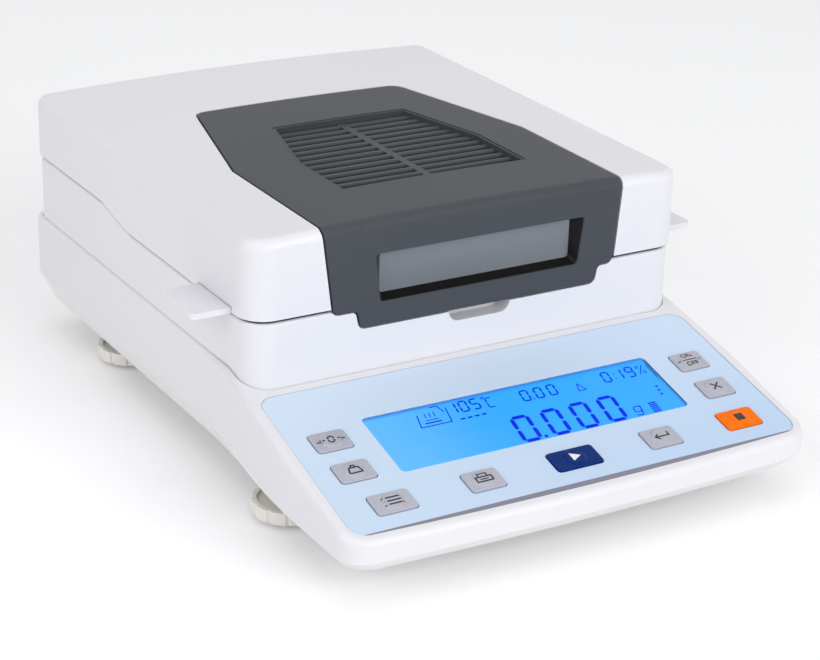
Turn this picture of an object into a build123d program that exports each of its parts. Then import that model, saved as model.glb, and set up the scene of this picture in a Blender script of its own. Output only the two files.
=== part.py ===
# Moisture analyzer: a balance with a heated, hinged lid over its weighing chamber.
# Millimetres. +X is right seen from the front, the console faces -Y, +Z is up.
# The origin is on the floor under the middle of the base.
import os
from math import cos, radians, sin

from build123d import *

os.makedirs("parts", exist_ok=True)

# Base: plan. Places along the depth are given as shares of it, so that they move together.
base_depth = 329.0
base_half_rear = 107.0
base_half_front = 112.0
flare_start_y = -0.0486 * base_depth
flare_end_y = -0.3404 * base_depth
base_front_bow = 3.0
base_corner_front = 12.0
base_corner_rear = 7.0
rear_y = base_depth / 2
front_y = -base_depth / 2

# Base: heights
floor_clearance = 13.0
parting_front_z = 20.0
parting_rear_z = 28.0
parting_front_y = -0.3283 * base_depth
parting_rear_y = -0.0669 * base_depth
deck_z = 58.0
wall = 2.8
shell_gap = 0.2
tray_floor = 3.0
tray_taper = 6.4
tray_edge_radius = 5.0
top_edge_radius = 3.0

# Console slope, through a point on the face of the overlay
console_slope = 14.0
console_ref_y = -0.21064 * base_depth
console_ref_z = 52.4
console_rim = 0.3
overlay_thickness = 0.6
overlay_top_y = -0.2158 * base_depth
overlay_bottom_y = -0.4787 * base_depth
overlay_bow = 2.3
overlay_half_top = 105.0
overlay_half_bottom = 107.0
overlay_corner = 7.0
overlay_fit = 0.3

# Display
display_half_width = 70.0
display_top_y = -0.2875 * base_depth
display_bottom_y = -0.3933 * base_depth
display_corner = 2.0
display_depth = 7.0

# Keys: name, centre x, centre y, width, length
key_height = 0.8
key_edge_radius = 0.35
key_travel = 0.4
key_clearance = 0.35
key_flange = 0.9
key_flange_thickness = 1.0
key_corner = 1.6
key_width = 16.0
key_length = 11.5
key_wide_width = 22.0
side_key_x = 88.5
key_upper_y = -0.3152 * base_depth
key_lower_y = -0.3739 * base_depth
key_row_y = -0.4377 * base_depth
keys = [
    ("key_tare", -side_key_x, key_upper_y, key_width, key_length),
    ("key_cal", -side_key_x, key_lower_y, key_width, key_length),
    ("key_program", -83.0, key_row_y, key_width + 2, key_length),
    ("key_print", -41.5, key_row_y, key_width, key_length),
    ("key_start", 2.0, key_row_y, key_wide_width, key_length),
    ("key_enter", 45.0, key_row_y, key_width, key_length),
    ("key_stop", 85.5, key_row_y, key_width + 2, key_length),
    ("key_esc", side_key_x, key_lower_y, key_width - 1, key_length),
    ("key_onoff", side_key_x, key_upper_y, key_width - 1, key_length),
]
key_board_half = 94.0
key_board_post_y = (key_upper_y + key_lower_y) / 2
key_board_posts = [(-62.0, key_row_y), (-20.0, key_row_y), (23.5, key_row_y), (65.0, key_row_y),
                   (-side_key_x, key_board_post_y), (side_key_x, key_board_post_y)]
key_board_margin = 6.0
key_board_window = 6.0
switch_size = 6.0
switch_gap = 0.3
switch_height = 1.6
board_thickness = 1.6

# Chamber surround under the lid
surround_half = 105.8
surround_front_y = -0.20365 * base_depth
surround_rear_y = 0.4848 * base_depth
surround_wall = 3.0
front_corner = 12.0
rear_corner = 7.0
seam_width = 0.5
seam_depth = 0.8
rim_front_z = 82.0
rim_rear_z = 87.6
rim_step_front_y = 0.1581 * base_depth
rim_step_rear_y = 0.2462 * base_depth
rim_side_width = 6.0
rim_front_width = 12.0
rim_rear_width = 8.5
rim_edge_radius = 1.2
sill_z = 76.0
sill_thickness = 3.0

# Weighing chamber, pan and its support
chamber_y = 0.0608 * base_depth
chamber_radius = 60.0
chamber_floor_z = 62.0
liner_thickness = 1.0
liner_flange = 5.0
liner_fit = 0.6
shaft_radius = 3.0
shaft_hole_radius = 6.0
support_arm_radius = 40.0
support_top_z = 68.0
pan_radius = 45.0
pan_depth = 7.5
pan_thickness = 0.6
pan_rim = 1.5
shield_radius = chamber_radius - 6.0
shield_height = 10.0
shield_thickness = 1.2

# Lid
lid_half = 106.6
lid_front_y = surround_front_y - 0.5
lid_rear_y = surround_rear_y + 0.5
lid_side_top_z = 117.6
lid_crown = 2.4
lid_wall = 2.5
lid_edge_radius = 4.5
lid_gap = 1.6

# Dark lid cover with its tongue
cover_thickness = 2.5
cover_groove = 1.0
cover_ledge = 4.0
ledge_thickness = 1.5
cover_rear_y = 0.2857 * base_depth
cover_kink_y = 0.0416 * base_depth
cover_half_rear = 53.0
cover_half = 73.0
cover_half_low = 70.0
cover_low_left = 67.8
cover_low_z = 81.0
cover_high_z = 118.0
cover_corner = 6.0
front_x = 2.9
tongue_half = 59.6
tongue_draft = 1.5
tongue_z = 73.0
tongue_corner = 3.0
tongue_clearance = 0.8
scoop_half = 15.2
scoop_depth = 8.0
scoop_height = 5.5

# Window in the cover
window_half_top = 52.0
window_half_bottom = 49.0
window_top_z = 104.5
window_bottom_z = 82.9
window_corner = 1.5
pane_half = 47.0
pane_top_z = 103.0
pane_bottom_z = 85.2
pane_depth = 5.0
pane_thickness = 1.5
pane_lap = 1.8
window_frame = 2.0

# Slatted vent in the cover
vent_x = 2.5
vent_rear_y = 0.1793 * base_depth
vent_kink_y = 0.0319 * base_depth
vent_front_y = -0.0881 * base_depth
vent_half_rear = 34.5
vent_half = 46.5
vent_corner = 2.0
vent_wall = 1.4
vent_flange = 2.5
vent_fit = 0.15
slat_count = 13
slat_width = 3.4
slat_height = 4.0
slat_drop = 2.6
vent_rib = 3.6
vent_body_height = 8.5

# Lid frame with the lifting tabs, and the hinge
frame_gap = 1.2
frame_thickness = 2.5
frame_side_clearance = 1.2
frame_rear_clearance = 3.0
tab_front_y = -0.1565 * base_depth
tab_rear_y = -0.0638 * base_depth
tab_reach = 18.0
tab_corner_front = 3.0
tab_corner_rear = 7.0
tab_fit = 0.4
hinge_axis_y = surround_rear_y - 3.5
hinge_axis_z = 83.8
hinge_x = 70.0
hinge_arm_width = 14.0
hinge_side_gap = 0.5
hinge_boss_radius = 3.2
pin_radius = 1.5
pin_fit = 0.05
pin_overhang = 6.0

# Heater in the lid
reflector_radius = 58.0
reflector_top_radius = 46.0
reflector_height = 14.0
reflector_thickness = 0.8
reflector_flange = 5.0
lamp_ring_radius = 33.0
lamp_tube_radius = 4.2
lamp_drop = 6.5
lamp_fit = 0.1
lamp_gap_angle = 24.0
clip_width = 5.0
heat_shield_gap = 3.0
heat_shield_thickness = 0.8
sensor_radius = 1.5
sensor_drop = 9.0

# Levelling feet
foot_places = [
    ("front_left", -92.0, -0.231 * base_depth),
    ("front_right", 92.0, -0.231 * base_depth),
    ("rear_left", -84.0, 0.3088 * base_depth),
    ("rear_right", 84.0, 0.3088 * base_depth),
]
wheel_radius = 16.0
wheel_thickness = 5.5
wheel_rim = 2.2
wheel_dish = 1.4
wheel_notches = 12
wheel_notch_radius = 1.2
pad_radius = 10.0
pad_thickness = 2.0
foot_gap = 0.3
stud_radius = 3.0
stud_fit = 0.1
foot_boss_radius = 7.0
foot_boss_height = 11.0

# Boards on the tray
supply_x = -5.0
supply_y = 0.3404 * base_depth
supply_width = 80.0
supply_length = 44.0
main_board_y = -0.2675 * base_depth
tray_slot_y = 0.3587 * base_depth

# Rear connectors
inlet_x = -62.0
inlet_width = 27.0
inlet_height = 19.5
inlet_z = 44.0
inlet_depth = 24.0
port_x = 58.0
port_z = 44.0
port_width = 30.8
port_height = 12.5

# Screws
screw_radius = 1.5
screw_head_radius = 2.8
screw_head_height = 1.8
screw_length = 8.0
screw_recess = 0.4
post_radius = 3.5
tray_screw_places = [
    (-99.5, -0.4255 * base_depth), (99.5, -0.4255 * base_depth),
    (-90.0, 0.0608 * base_depth), (90.0, 0.0608 * base_depth),
    (-90.0, 0.4438 * base_depth), (90.0, 0.4438 * base_depth),
]
lid_screw_places = [
    (-88.0, -0.1216 * base_depth), (88.0, -0.1216 * base_depth),
    (-88.0, 0.3891 * base_depth), (88.0, 0.3891 * base_depth),
]

# Spirit level on the sill
level_x = 84.0
level_y = 0.3891 * base_depth
level_radius = 8.0
level_height = 4.0

slope = radians(console_slope)
console_rise = sin(slope) / cos(slope)


def console_z(y, above=0.0):
    """Height of the overlay's face at a given y, or of a plane parallel to it."""
    return console_ref_z + (y - console_ref_y) * console_rise + above / cos(slope)


def console_plane(y, above=0.0, x=0.0):
    """Plane on the console with its X along the object's X and its Z out of the slope."""
    origin = (x, y - above * sin(slope), console_z(y) + above * cos(slope))
    return Plane(origin=origin, x_dir=(1, 0, 0), z_dir=(0, -sin(slope), cos(slope)))


def base_outline(inset=0.0, taper=0.0, front_grow=0.0):
    """Plan of the base: straight rear sides that flare out to the wider console."""
    half_rear = base_half_rear - inset - taper
    half_front = base_half_front - inset - taper + front_grow
    back = rear_y - inset - taper
    bow_y = front_y + inset + taper - front_grow
    corner_y = bow_y + base_front_bow
    with BuildSketch() as outline:
        with BuildLine():
            back_edge = Line((0, back), (half_rear, back))
            side = Line(back_edge @ 1, (half_rear, flare_start_y))
            flare = Spline(
                side @ 1, (half_front, flare_end_y), tangents=[(0, -1), (0, -1)]
            )
            console_side = Line(flare @ 1, (half_front, corner_y))
            bow = ThreePointArc((half_front, corner_y), (0, bow_y), (-half_front, corner_y))
            left_side = Line(bow @ 1, (-half_front, flare_end_y))
            left_flare = Spline(
                left_side @ 1, (-half_rear, flare_start_y), tangents=[(0, 1), (0, 1)]
            )
            left_rear = Line(left_flare @ 1, (-half_rear, back))
            Line(left_rear @ 1, (0, back))
        make_face()
        corners = outline.vertices().group_by(Axis.Y)
        fillet(corners[0], base_corner_front - inset)
        fillet(outline.vertices().group_by(Axis.Y)[-1].filter_by(lambda v: abs(v.X) > 1),
               base_corner_rear - inset)
    return outline.sketch


def tray_form(inset):
    """The tapered body of the tray, level with the housing all along the parting line."""
    front_grow = tray_taper * (parting_rear_z - parting_front_z) / (parting_front_z - floor_clearance)
    with BuildPart() as form:
        with BuildSketch(Plane.XY.offset(floor_clearance)):
            add(base_outline(inset, tray_taper))
        with BuildSketch(Plane.XY.offset(parting_rear_z)):
            add(base_outline(inset, 0.0, front_grow))
        loft()
    return form.part


def side_slab(points):
    """A slab across the whole width whose side view is the given outline in Y and Z."""
    with BuildPart() as slab:
        with BuildSketch(Plane.YZ):
            with BuildLine() as line:
                Polyline(*points, close=True)
            make_face()
        extrude(amount=2 * base_half_front, both=True)
    return slab.part


def below_deck(lower=0.0, from_z=0.0):
    """Everything under the deck and the console slope, both lowered by the same amount."""
    reach = base_depth
    meet_y = console_ref_y + (deck_z - console_ref_z - console_rim / cos(slope)) / console_rise
    drop = lower / cos(slope)
    top = deck_z - lower
    knee_y = meet_y + (drop - lower) / console_rise
    foot_z = console_z(front_y - 10, console_rim) - drop
    return side_slab([
        (front_y - 10, from_z),
        (front_y - 10, foot_z),
        (knee_y, top),
        (reach, top),
        (reach, from_z),
    ])


def below_parting(lower=0.0):
    """Everything under the stepped parting line between the tray and the housing."""
    return side_slab([
        (front_y - 10, 0),
        (front_y - 10, parting_front_z - lower),
        (parting_front_y, parting_front_z - lower),
        (parting_rear_y, parting_rear_z - lower),
        (base_depth, parting_rear_z - lower),
        (base_depth, 0),
    ])


def below_rim(lower=0.0):
    """Everything under the stepped line where the lid meets the surround."""
    return side_slab([
        (-base_depth, 0),
        (-base_depth, rim_front_z - lower),
        (rim_step_front_y, rim_front_z - lower),
        (rim_step_rear_y, rim_rear_z - lower),
        (base_depth, rim_rear_z - lower),
        (base_depth, 0),
    ])


def box_outline(half, front, back, corner_inset=0.0):
    """A rectangle in plan, with its rear corners tighter than its front ones."""
    with BuildSketch() as outline:
        with Locations((0, (front + back) / 2)):
            Rectangle(2 * half, back - front)
        fillet(outline.vertices().group_by(Axis.Y)[0], front_corner - corner_inset)
        fillet(outline.vertices().group_by(Axis.Y)[-1], rear_corner - corner_inset)
    return outline.sketch


def lid_form(inset=0.0, low=rim_front_z, clip=True):
    """The lid as a full block: rounded plan, crowned top and a rolled top edge."""
    crown_z = lid_side_top_z + lid_crown - inset
    side_z = lid_side_top_z - inset
    outline = box_outline(lid_half - inset, lid_front_y + inset, lid_rear_y - inset, inset)
    with BuildPart() as form:
        with BuildSketch(Plane.XY.offset(low)):
            add(outline)
        extrude(amount=crown_z + 10 - low)
        with BuildSketch(Plane.XZ):
            with BuildLine():
                ThreePointArc((-lid_half, side_z), (0, crown_z), (lid_half, side_z))
                Polyline((lid_half, side_z), (lid_half, low), (-lid_half, low), (-lid_half, side_z))
            make_face()
        extrude(amount=base_depth, both=True, mode=Mode.INTERSECT)
        fillet(form.faces().sort_by(Axis.Z)[-1].edges(), lid_edge_radius - inset)
        if clip:
            add(below_rim(-lid_gap), mode=Mode.SUBTRACT)
    return form.part


def cover_plan(grow=0.0):
    """The cover seen from above: a tapering rear that widens to the front edge."""
    with BuildSketch() as plan:
        with BuildLine():
            Polyline(
                (-cover_half, lid_front_y - 10),
                (-cover_half, cover_kink_y),
                (-cover_half_rear, cover_rear_y),
                (cover_half_rear, cover_rear_y),
                (cover_half, cover_kink_y),
                (cover_half, lid_front_y - 10),
                close=True,
            )
        make_face()
        fillet(plan.vertices().group_by(Axis.Y)[-1], cover_corner)
        if grow:
            offset(amount=grow, mode=Mode.REPLACE)
    return plan.sketch


def cover_front(grow=0.0):
    """The cover seen from the front, with the tongue that drops into the surround."""
    with BuildSketch(Plane.XZ) as view:
        with BuildLine():
            Polyline(
                (-cover_half, cover_high_z + 20),
                (-cover_half, cover_high_z),
                (-cover_low_left, cover_low_z),
                (front_x - tongue_half, cover_low_z),
                (front_x - tongue_half + tongue_draft, tongue_z),
                (front_x + tongue_half - tongue_draft, tongue_z),
                (front_x + tongue_half, cover_low_z),
                (cover_half_low, cover_low_z),
                (cover_half, cover_high_z),
                (cover_half, cover_high_z + 20),
                close=True,
            )
        make_face()
        fillet(view.vertices().group_by(Axis.Z)[0], tongue_corner)
        if grow:
            offset(amount=grow, mode=Mode.REPLACE)
    return view.sketch


def cover_block(grow=0.0):
    """A block with the cover's outline from above and from the front."""
    with BuildPart() as block:
        with BuildSketch(Plane.XY.offset(tongue_z - 10)):
            add(cover_plan(grow))
        extrude(amount=80)
        with BuildSketch(Plane.XZ):
            add(cover_front(grow))
        extrude(amount=base_depth, both=True, mode=Mode.INTERSECT)
    return block.part


def vent_plan(grow=0.0):
    """The six-sided vent, narrower at the rear like the cover around it."""
    with BuildSketch() as plan:
        with BuildLine():
            Polyline(
                (vent_x - vent_half, vent_front_y),
                (vent_x - vent_half, vent_kink_y),
                (vent_x - vent_half_rear, vent_rear_y),
                (vent_x + vent_half_rear, vent_rear_y),
                (vent_x + vent_half, vent_kink_y),
                (vent_x + vent_half, vent_front_y),
                close=True,
            )
        make_face()
        fillet(plan.vertices(), vent_corner)
        if grow:
            offset(amount=grow, mode=Mode.REPLACE)
    return plan.sketch


def overlay_outline(grow=0.0):
    """The printed overlay, drawn in the console plane about the middle of its height."""
    scale = 1 / cos(slope)
    half_length = (overlay_top_y - overlay_bottom_y) / 2 * scale
    with BuildSketch() as outline:
        with BuildLine():
            Polyline(
                (-overlay_half_top, half_length),
                (overlay_half_top, half_length),
                (overlay_half_bottom, -half_length),
            )
            ThreePointArc((overlay_half_bottom, -half_length), (0, -half_length - overlay_bow),
                          (-overlay_half_bottom, -half_length))
            Line((-overlay_half_bottom, -half_length), (-overlay_half_top, half_length))
        make_face()
        fillet(outline.vertices(), overlay_corner)
        if grow:
            offset(amount=grow, mode=Mode.REPLACE)
    return outline.sketch


frame_low_z = rim_front_z + frame_gap
frame_top_z = frame_low_z + frame_thickness
overlay_mid_y = (overlay_top_y + overlay_bottom_y) / 2
display_mid_y = (display_top_y + display_bottom_y) / 2
display_length = (display_top_y - display_bottom_y) / cos(slope)
under_overlay = -overlay_thickness
under_housing = under_overlay - wall
board_top = under_housing - key_flange_thickness - key_travel - switch_gap - switch_height


# The lower tray: a shallow dish with bosses for the feet and slots for cooling air.
with BuildPart() as tray_pocket:
    add(tray_form(shell_gap + wall))
    with BuildSketch(Plane.XY):
        Rectangle(4 * base_half_front, 2 * base_depth)
    extrude(amount=floor_clearance + tray_floor, mode=Mode.SUBTRACT)

with BuildPart() as bottom_tray:
    add(tray_form(shell_gap))
    fillet(bottom_tray.faces().sort_by(Axis.Z)[0].edges(), tray_edge_radius)
    with BuildSketch(Plane.XY.offset(floor_clearance)):
        add(base_outline(shell_gap))
    extrude(amount=parting_rear_z - floor_clearance, mode=Mode.INTERSECT)
    add(below_parting(shell_gap), mode=Mode.INTERSECT)
    add(tray_pocket.part, mode=Mode.SUBTRACT)
    for name, foot_x, foot_y in foot_places:
        with Locations((foot_x, foot_y, floor_clearance)):
            Cylinder(foot_boss_radius, foot_boss_height, align=(Align.CENTER, Align.CENTER, Align.MIN))
            Cylinder(stud_radius + stud_fit, foot_boss_height, mode=Mode.SUBTRACT,
                     align=(Align.CENTER, Align.CENTER, Align.MIN))
    with BuildSketch(Plane.XY.offset(floor_clearance)):
        with Locations((0, tray_slot_y)):
            with GridLocations(0, 9, 1, 5):
                SlotOverall(70, 3.2)
    extrude(amount=tray_floor, mode=Mode.SUBTRACT)
    with Locations(*[Plane(origin=(x, y, floor_clearance), x_dir=(1, 0, 0), z_dir=(0, 0, -1)).location
                     for x, y in tray_screw_places]):
        CounterBoreHole(screw_radius + 0.1, screw_head_radius + 0.2, screw_head_height + screw_recess,
                        tray_floor)
bottom_tray.part.label = "bottom_tray"

# The upper housing: deck, sloping console, and cut-outs for display, keys and sockets.
with BuildPart() as housing_core:
    with BuildSketch():
        add(base_outline(wall))
    extrude(amount=deck_z)
    add(below_deck(wall + console_rim + overlay_thickness), mode=Mode.INTERSECT)

with BuildPart() as housing_posts:
    with BuildSketch(Plane.XY.offset(floor_clearance + tray_floor)):
        with Locations(*tray_screw_places):
            Circle(post_radius)
    extrude(amount=deck_z)
    add(housing_core.part, mode=Mode.INTERSECT)
    with BuildSketch(Plane.XY.offset(floor_clearance + tray_floor)):
        with Locations(*tray_screw_places):
            Circle(screw_radius)
    extrude(amount=screw_length, mode=Mode.SUBTRACT)

with BuildPart() as foot_seam:
    with BuildSketch(Plane.XY.offset(sill_z)):
        add(box_outline(surround_half + seam_width, surround_front_y - seam_width,
                        surround_rear_y + seam_width, -seam_width))
        add(box_outline(surround_half, surround_front_y, surround_rear_y), mode=Mode.SUBTRACT)
    extrude(amount=-sill_z / 2)
    add(below_deck(seam_depth), mode=Mode.SUBTRACT)

with BuildPart() as base_housing:
    with BuildSketch():
        add(base_outline())
    extrude(amount=deck_z + 5)
    add(below_deck(), mode=Mode.INTERSECT)
    top_faces = base_housing.faces().filter_by(lambda f: f.normal_at().Z > 0.9)
    ridge = top_faces[0].edges() & top_faces[1].edges()
    fillet(ridge, 40)
    rim_edges = base_housing.edges().filter_by(
        lambda e: min(v.Z for v in e.vertices()) > parting_front_z + 4
        and abs(e.tangent_at(0.5).X) + abs(e.tangent_at(0.5).Y) > 0.2
    )
    rim_edges = rim_edges.filter_by(lambda e: not (abs(e.tangent_at(0.5).X) > 0.999
                                                   and abs(e.center().X) < 1
                                                   and e.center().Y > front_y + 20
                                                   and e.center().Y < rear_y - 5))
    fillet(rim_edges, top_edge_radius)
    add(housing_core.part, mode=Mode.SUBTRACT)
    add(below_parting(), mode=Mode.SUBTRACT)
    add(housing_posts.part)
    add(foot_seam.part, mode=Mode.SUBTRACT)
    with BuildSketch(console_plane(overlay_mid_y, under_overlay)):
        add(overlay_outline(overlay_fit))
    extrude(amount=6, mode=Mode.SUBTRACT)
    with BuildSketch(console_plane(display_mid_y, under_overlay)):
        RectangleRounded(2 * display_half_width + 1, display_length + 1, display_corner)
    extrude(amount=-3 * wall, mode=Mode.SUBTRACT)
    for name, key_x, key_y, size_x, size_y in keys:
        with BuildSketch(console_plane(key_y, under_overlay, key_x)):
            RectangleRounded(size_x + 2 * key_clearance, size_y + 2 * key_clearance,
                             key_corner + key_clearance)
        extrude(amount=-3 * wall, mode=Mode.SUBTRACT)
    with BuildSketch(Plane.XY.offset(deck_z)):
        with Locations((0, chamber_y)):
            Circle(shaft_hole_radius)
    extrude(amount=-3 * wall, mode=Mode.SUBTRACT)
    with BuildSketch(Plane.XZ.offset(-rear_y)):
        with Locations((inlet_x, inlet_z)):
            RectangleRounded(inlet_width, inlet_height, 1.5)
        with Locations((port_x, port_z)):
            RectangleRounded(port_width, port_height, 1.5)
    extrude(amount=2 * wall, mode=Mode.SUBTRACT)
base_housing.part.label = "base_housing"

# Screws under the tray, one group.
with BuildPart() as tray_screws:
    with Locations(*[(x, y, floor_clearance + screw_recess) for x, y in tray_screw_places]):
        Cylinder(screw_head_radius, screw_head_height, align=(Align.CENTER, Align.CENTER, Align.MIN))
        Cylinder(screw_radius, screw_length, align=(Align.CENTER, Align.CENTER, Align.MIN))
tray_screws.part.label = "tray_screws"

# The surround: a moulded collar on the deck with a raised rim, a recessed sill and a front notch.
with BuildPart() as surround_hollow:
    with BuildSketch():
        add(box_outline(surround_half - surround_wall, surround_front_y + rim_front_width,
                        surround_rear_y - rim_rear_width, surround_wall))
    extrude(amount=sill_z - sill_thickness)

with BuildPart() as sill_recess:
    with BuildSketch(Plane.XY.offset(sill_z)):
        add(box_outline(surround_half - rim_side_width, surround_front_y + rim_front_width,
                        surround_rear_y - rim_rear_width, surround_wall))
    extrude(amount=30)

with BuildPart() as chamber_surround:
    with BuildSketch():
        add(box_outline(surround_half, surround_front_y, surround_rear_y))
    extrude(amount=rim_rear_z + 10)
    add(below_rim(), mode=Mode.INTERSECT)
    top_faces = chamber_surround.faces().filter_by(lambda f: f.normal_at().Z > 0.9)
    outer_edges = top_faces.edges().filter_by(
        lambda e: not (abs(e.tangent_at(0.5).X) > 0.999 and abs(e.center().X) < 1
                       and surround_front_y + 5 < e.center().Y < surround_rear_y - 5))
    fillet(outer_edges, rim_edge_radius)
    add(surround_hollow.part, mode=Mode.SUBTRACT)
    add(sill_recess.part, mode=Mode.SUBTRACT)
    add(below_deck(), mode=Mode.SUBTRACT)
    with BuildSketch(Plane.XY.offset(sill_z)):
        with Locations((0, chamber_y)):
            Circle(chamber_radius + liner_thickness + liner_fit)
    extrude(amount=-2 * sill_thickness, mode=Mode.SUBTRACT)
    with BuildSketch(Plane.XZ.offset(-surround_front_y + 10)):
        add(cover_front(tongue_clearance))
    extrude(amount=-(10 + cover_thickness + tongue_clearance + surround_front_y - lid_front_y),
            mode=Mode.SUBTRACT)
    with BuildSketch(Plane.XZ.offset(-surround_front_y)):
        with Locations((front_x, tongue_z)):
            RectangleRounded(2 * scoop_half, 2 * scoop_height, scoop_height - 0.5)
    extrude(amount=-scoop_depth, mode=Mode.SUBTRACT)
    for side in (-1, 1):
        with BuildSketch(Plane.YZ.offset(side * hinge_x)):
            with BuildLine():
                Polyline(
                    (surround_rear_y - rim_rear_width - 5, rim_rear_z + 5),
                    (surround_rear_y - rim_rear_width - 5, sill_z),
                    (hinge_axis_y - 2, sill_z),
                    (hinge_axis_y + 5, hinge_axis_z - 3),
                    (hinge_axis_y + 5, rim_rear_z + 5),
                    close=True,
                )
            make_face()
        extrude(amount=hinge_arm_width / 2 + hinge_side_gap, both=True, mode=Mode.SUBTRACT)
        with BuildSketch(Plane.YZ.offset(side * hinge_x)):
            with Locations((hinge_axis_y, hinge_axis_z)):
                Circle(pin_radius)
        extrude(amount=hinge_arm_width / 2 + pin_overhang, both=True, mode=Mode.SUBTRACT)
chamber_surround.part.label = "chamber_surround"

with BuildPart() as hinge_pins:
    for side in (-1, 1):
        with BuildSketch(Plane.YZ.offset(side * hinge_x)):
            with Locations((hinge_axis_y, hinge_axis_z)):
                Circle(pin_radius)
        extrude(amount=hinge_arm_width / 2 + pin_overhang, both=True)
hinge_pins.part.label = "hinge_pins"

# The chamber liner: a spun steel bowl with a collar for the balance's shaft.
with BuildPart() as chamber_liner:
    with BuildSketch(Plane.XZ.offset(-chamber_y)):
        with BuildLine():
            Polyline(
                (shaft_hole_radius, chamber_floor_z - liner_thickness),
                (shaft_hole_radius, chamber_floor_z + 2),
                (shaft_hole_radius + liner_thickness, chamber_floor_z + 2),
                (shaft_hole_radius + liner_thickness, chamber_floor_z),
                (chamber_radius - 3, chamber_floor_z),
                (chamber_radius, chamber_floor_z + 3),
                (chamber_radius, sill_z + liner_thickness),
                (chamber_radius + liner_thickness + liner_flange, sill_z + liner_thickness),
                (chamber_radius + liner_thickness + liner_flange, sill_z),
                (chamber_radius + liner_thickness, sill_z),
                (chamber_radius + liner_thickness, chamber_floor_z + 2.6),
                (chamber_radius - 2.6, chamber_floor_z - liner_thickness),
                close=True,
            )
        make_face()
    revolve(axis=Axis((0, chamber_y, 0), (0, 0, 1)))
chamber_liner.part.label = "chamber_liner"

# A loose ring that keeps draughts off the pan.
with BuildPart() as draft_shield:
    with BuildSketch(Plane.XZ.offset(-chamber_y)):
        with BuildLine():
            Polyline(
                (shield_radius, chamber_floor_z),
                (shield_radius, chamber_floor_z + shield_height),
                (shield_radius - shield_thickness, chamber_floor_z + shield_height),
                (shield_radius - shield_thickness, chamber_floor_z + shield_thickness),
                (shield_radius - 6, chamber_floor_z + shield_thickness),
                (shield_radius - 6, chamber_floor_z),
                close=True,
            )
        make_face()
    revolve(axis=Axis((0, chamber_y, 0), (0, 0, 1)))
draft_shield.part.label = "draft_shield"

# The support: a shaft from the load cell with three arms that carry the pan.
load_cell_top_z = 46.0
with BuildPart() as pan_support:
    with Locations((0, chamber_y, load_cell_top_z)):
        Cylinder(shaft_radius, support_top_z - load_cell_top_z,
                 align=(Align.CENTER, Align.CENTER, Align.MIN))
    with BuildSketch(Plane.XY.offset(support_top_z - 1.5)):
        with Locations((0, chamber_y)):
            Circle(9)
            with PolarLocations(support_arm_radius / 2, 3, start_angle=90):
                SlotOverall(support_arm_radius, 5)
    extrude(amount=1.5)
    with Locations((0, chamber_y, support_top_z - 1.5)):
        with PolarLocations(support_arm_radius - 3, 3, start_angle=90):
            Cylinder(1.5, 1.5, align=(Align.CENTER, Align.CENTER, Align.MAX))
pan_support.part.label = "pan_support"

# The sample pan: thin pressed aluminium with a rolled rim.
with BuildPart() as sample_pan:
    with BuildSketch(Plane.XZ.offset(-chamber_y)):
        with BuildLine():
            Polyline(
                (0, support_top_z),
                (pan_radius - 2, support_top_z),
                (pan_radius, support_top_z + 2),
                (pan_radius, support_top_z + pan_depth - pan_thickness),
                (pan_radius + pan_rim, support_top_z + pan_depth - pan_thickness),
                (pan_radius + pan_rim, support_top_z + pan_depth),
                (pan_radius - pan_thickness, support_top_z + pan_depth),
                (pan_radius - pan_thickness, support_top_z + 2.3),
                (pan_radius - 2.3, support_top_z + pan_thickness),
                (0, support_top_z + pan_thickness),
                close=True,
            )
        make_face()
    revolve(axis=Axis((0, chamber_y, 0), (0, 0, 1)))
sample_pan.part.label = "sample_pan"

# The printed overlay, the clear display window and the keys that rise through it.
with BuildPart() as console_overlay:
    with BuildSketch(console_plane(overlay_mid_y, under_overlay)):
        add(overlay_outline())
    extrude(amount=overlay_thickness)
    with BuildSketch(console_plane(display_mid_y, under_overlay)):
        RectangleRounded(2 * display_half_width, display_length, display_corner)
    extrude(amount=overlay_thickness, mode=Mode.SUBTRACT)
    for name, key_x, key_y, size_x, size_y in keys:
        with BuildSketch(console_plane(key_y, under_overlay, key_x)):
            RectangleRounded(size_x + 2 * key_clearance, size_y + 2 * key_clearance,
                             key_corner + key_clearance)
        extrude(amount=overlay_thickness, mode=Mode.SUBTRACT)
console_overlay.part.label = "console_overlay"

with BuildPart() as display_window:
    with BuildSketch(console_plane(display_mid_y, under_overlay)):
        RectangleRounded(2 * display_half_width, display_length, display_corner)
    extrude(amount=overlay_thickness)
display_window.part.label = "display_window"

with BuildPart() as lcd_module:
    with BuildSketch(console_plane(display_mid_y, under_overlay)):
        RectangleRounded(2 * display_half_width, display_length, display_corner)
    extrude(amount=-display_depth)
    with BuildSketch(console_plane(display_mid_y, under_overlay - display_depth)):
        Rectangle(2 * display_half_width + 10, display_length + 10)
    extrude(amount=-board_thickness)
    with BuildSketch(console_plane(display_mid_y, under_overlay - display_depth)):
        with GridLocations(2 * display_half_width + 5.5, display_length + 5.5, 2, 2):
            Circle(1.6)
    extrude(amount=display_depth - wall)
lcd_module.part.label = "lcd_module"

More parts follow.
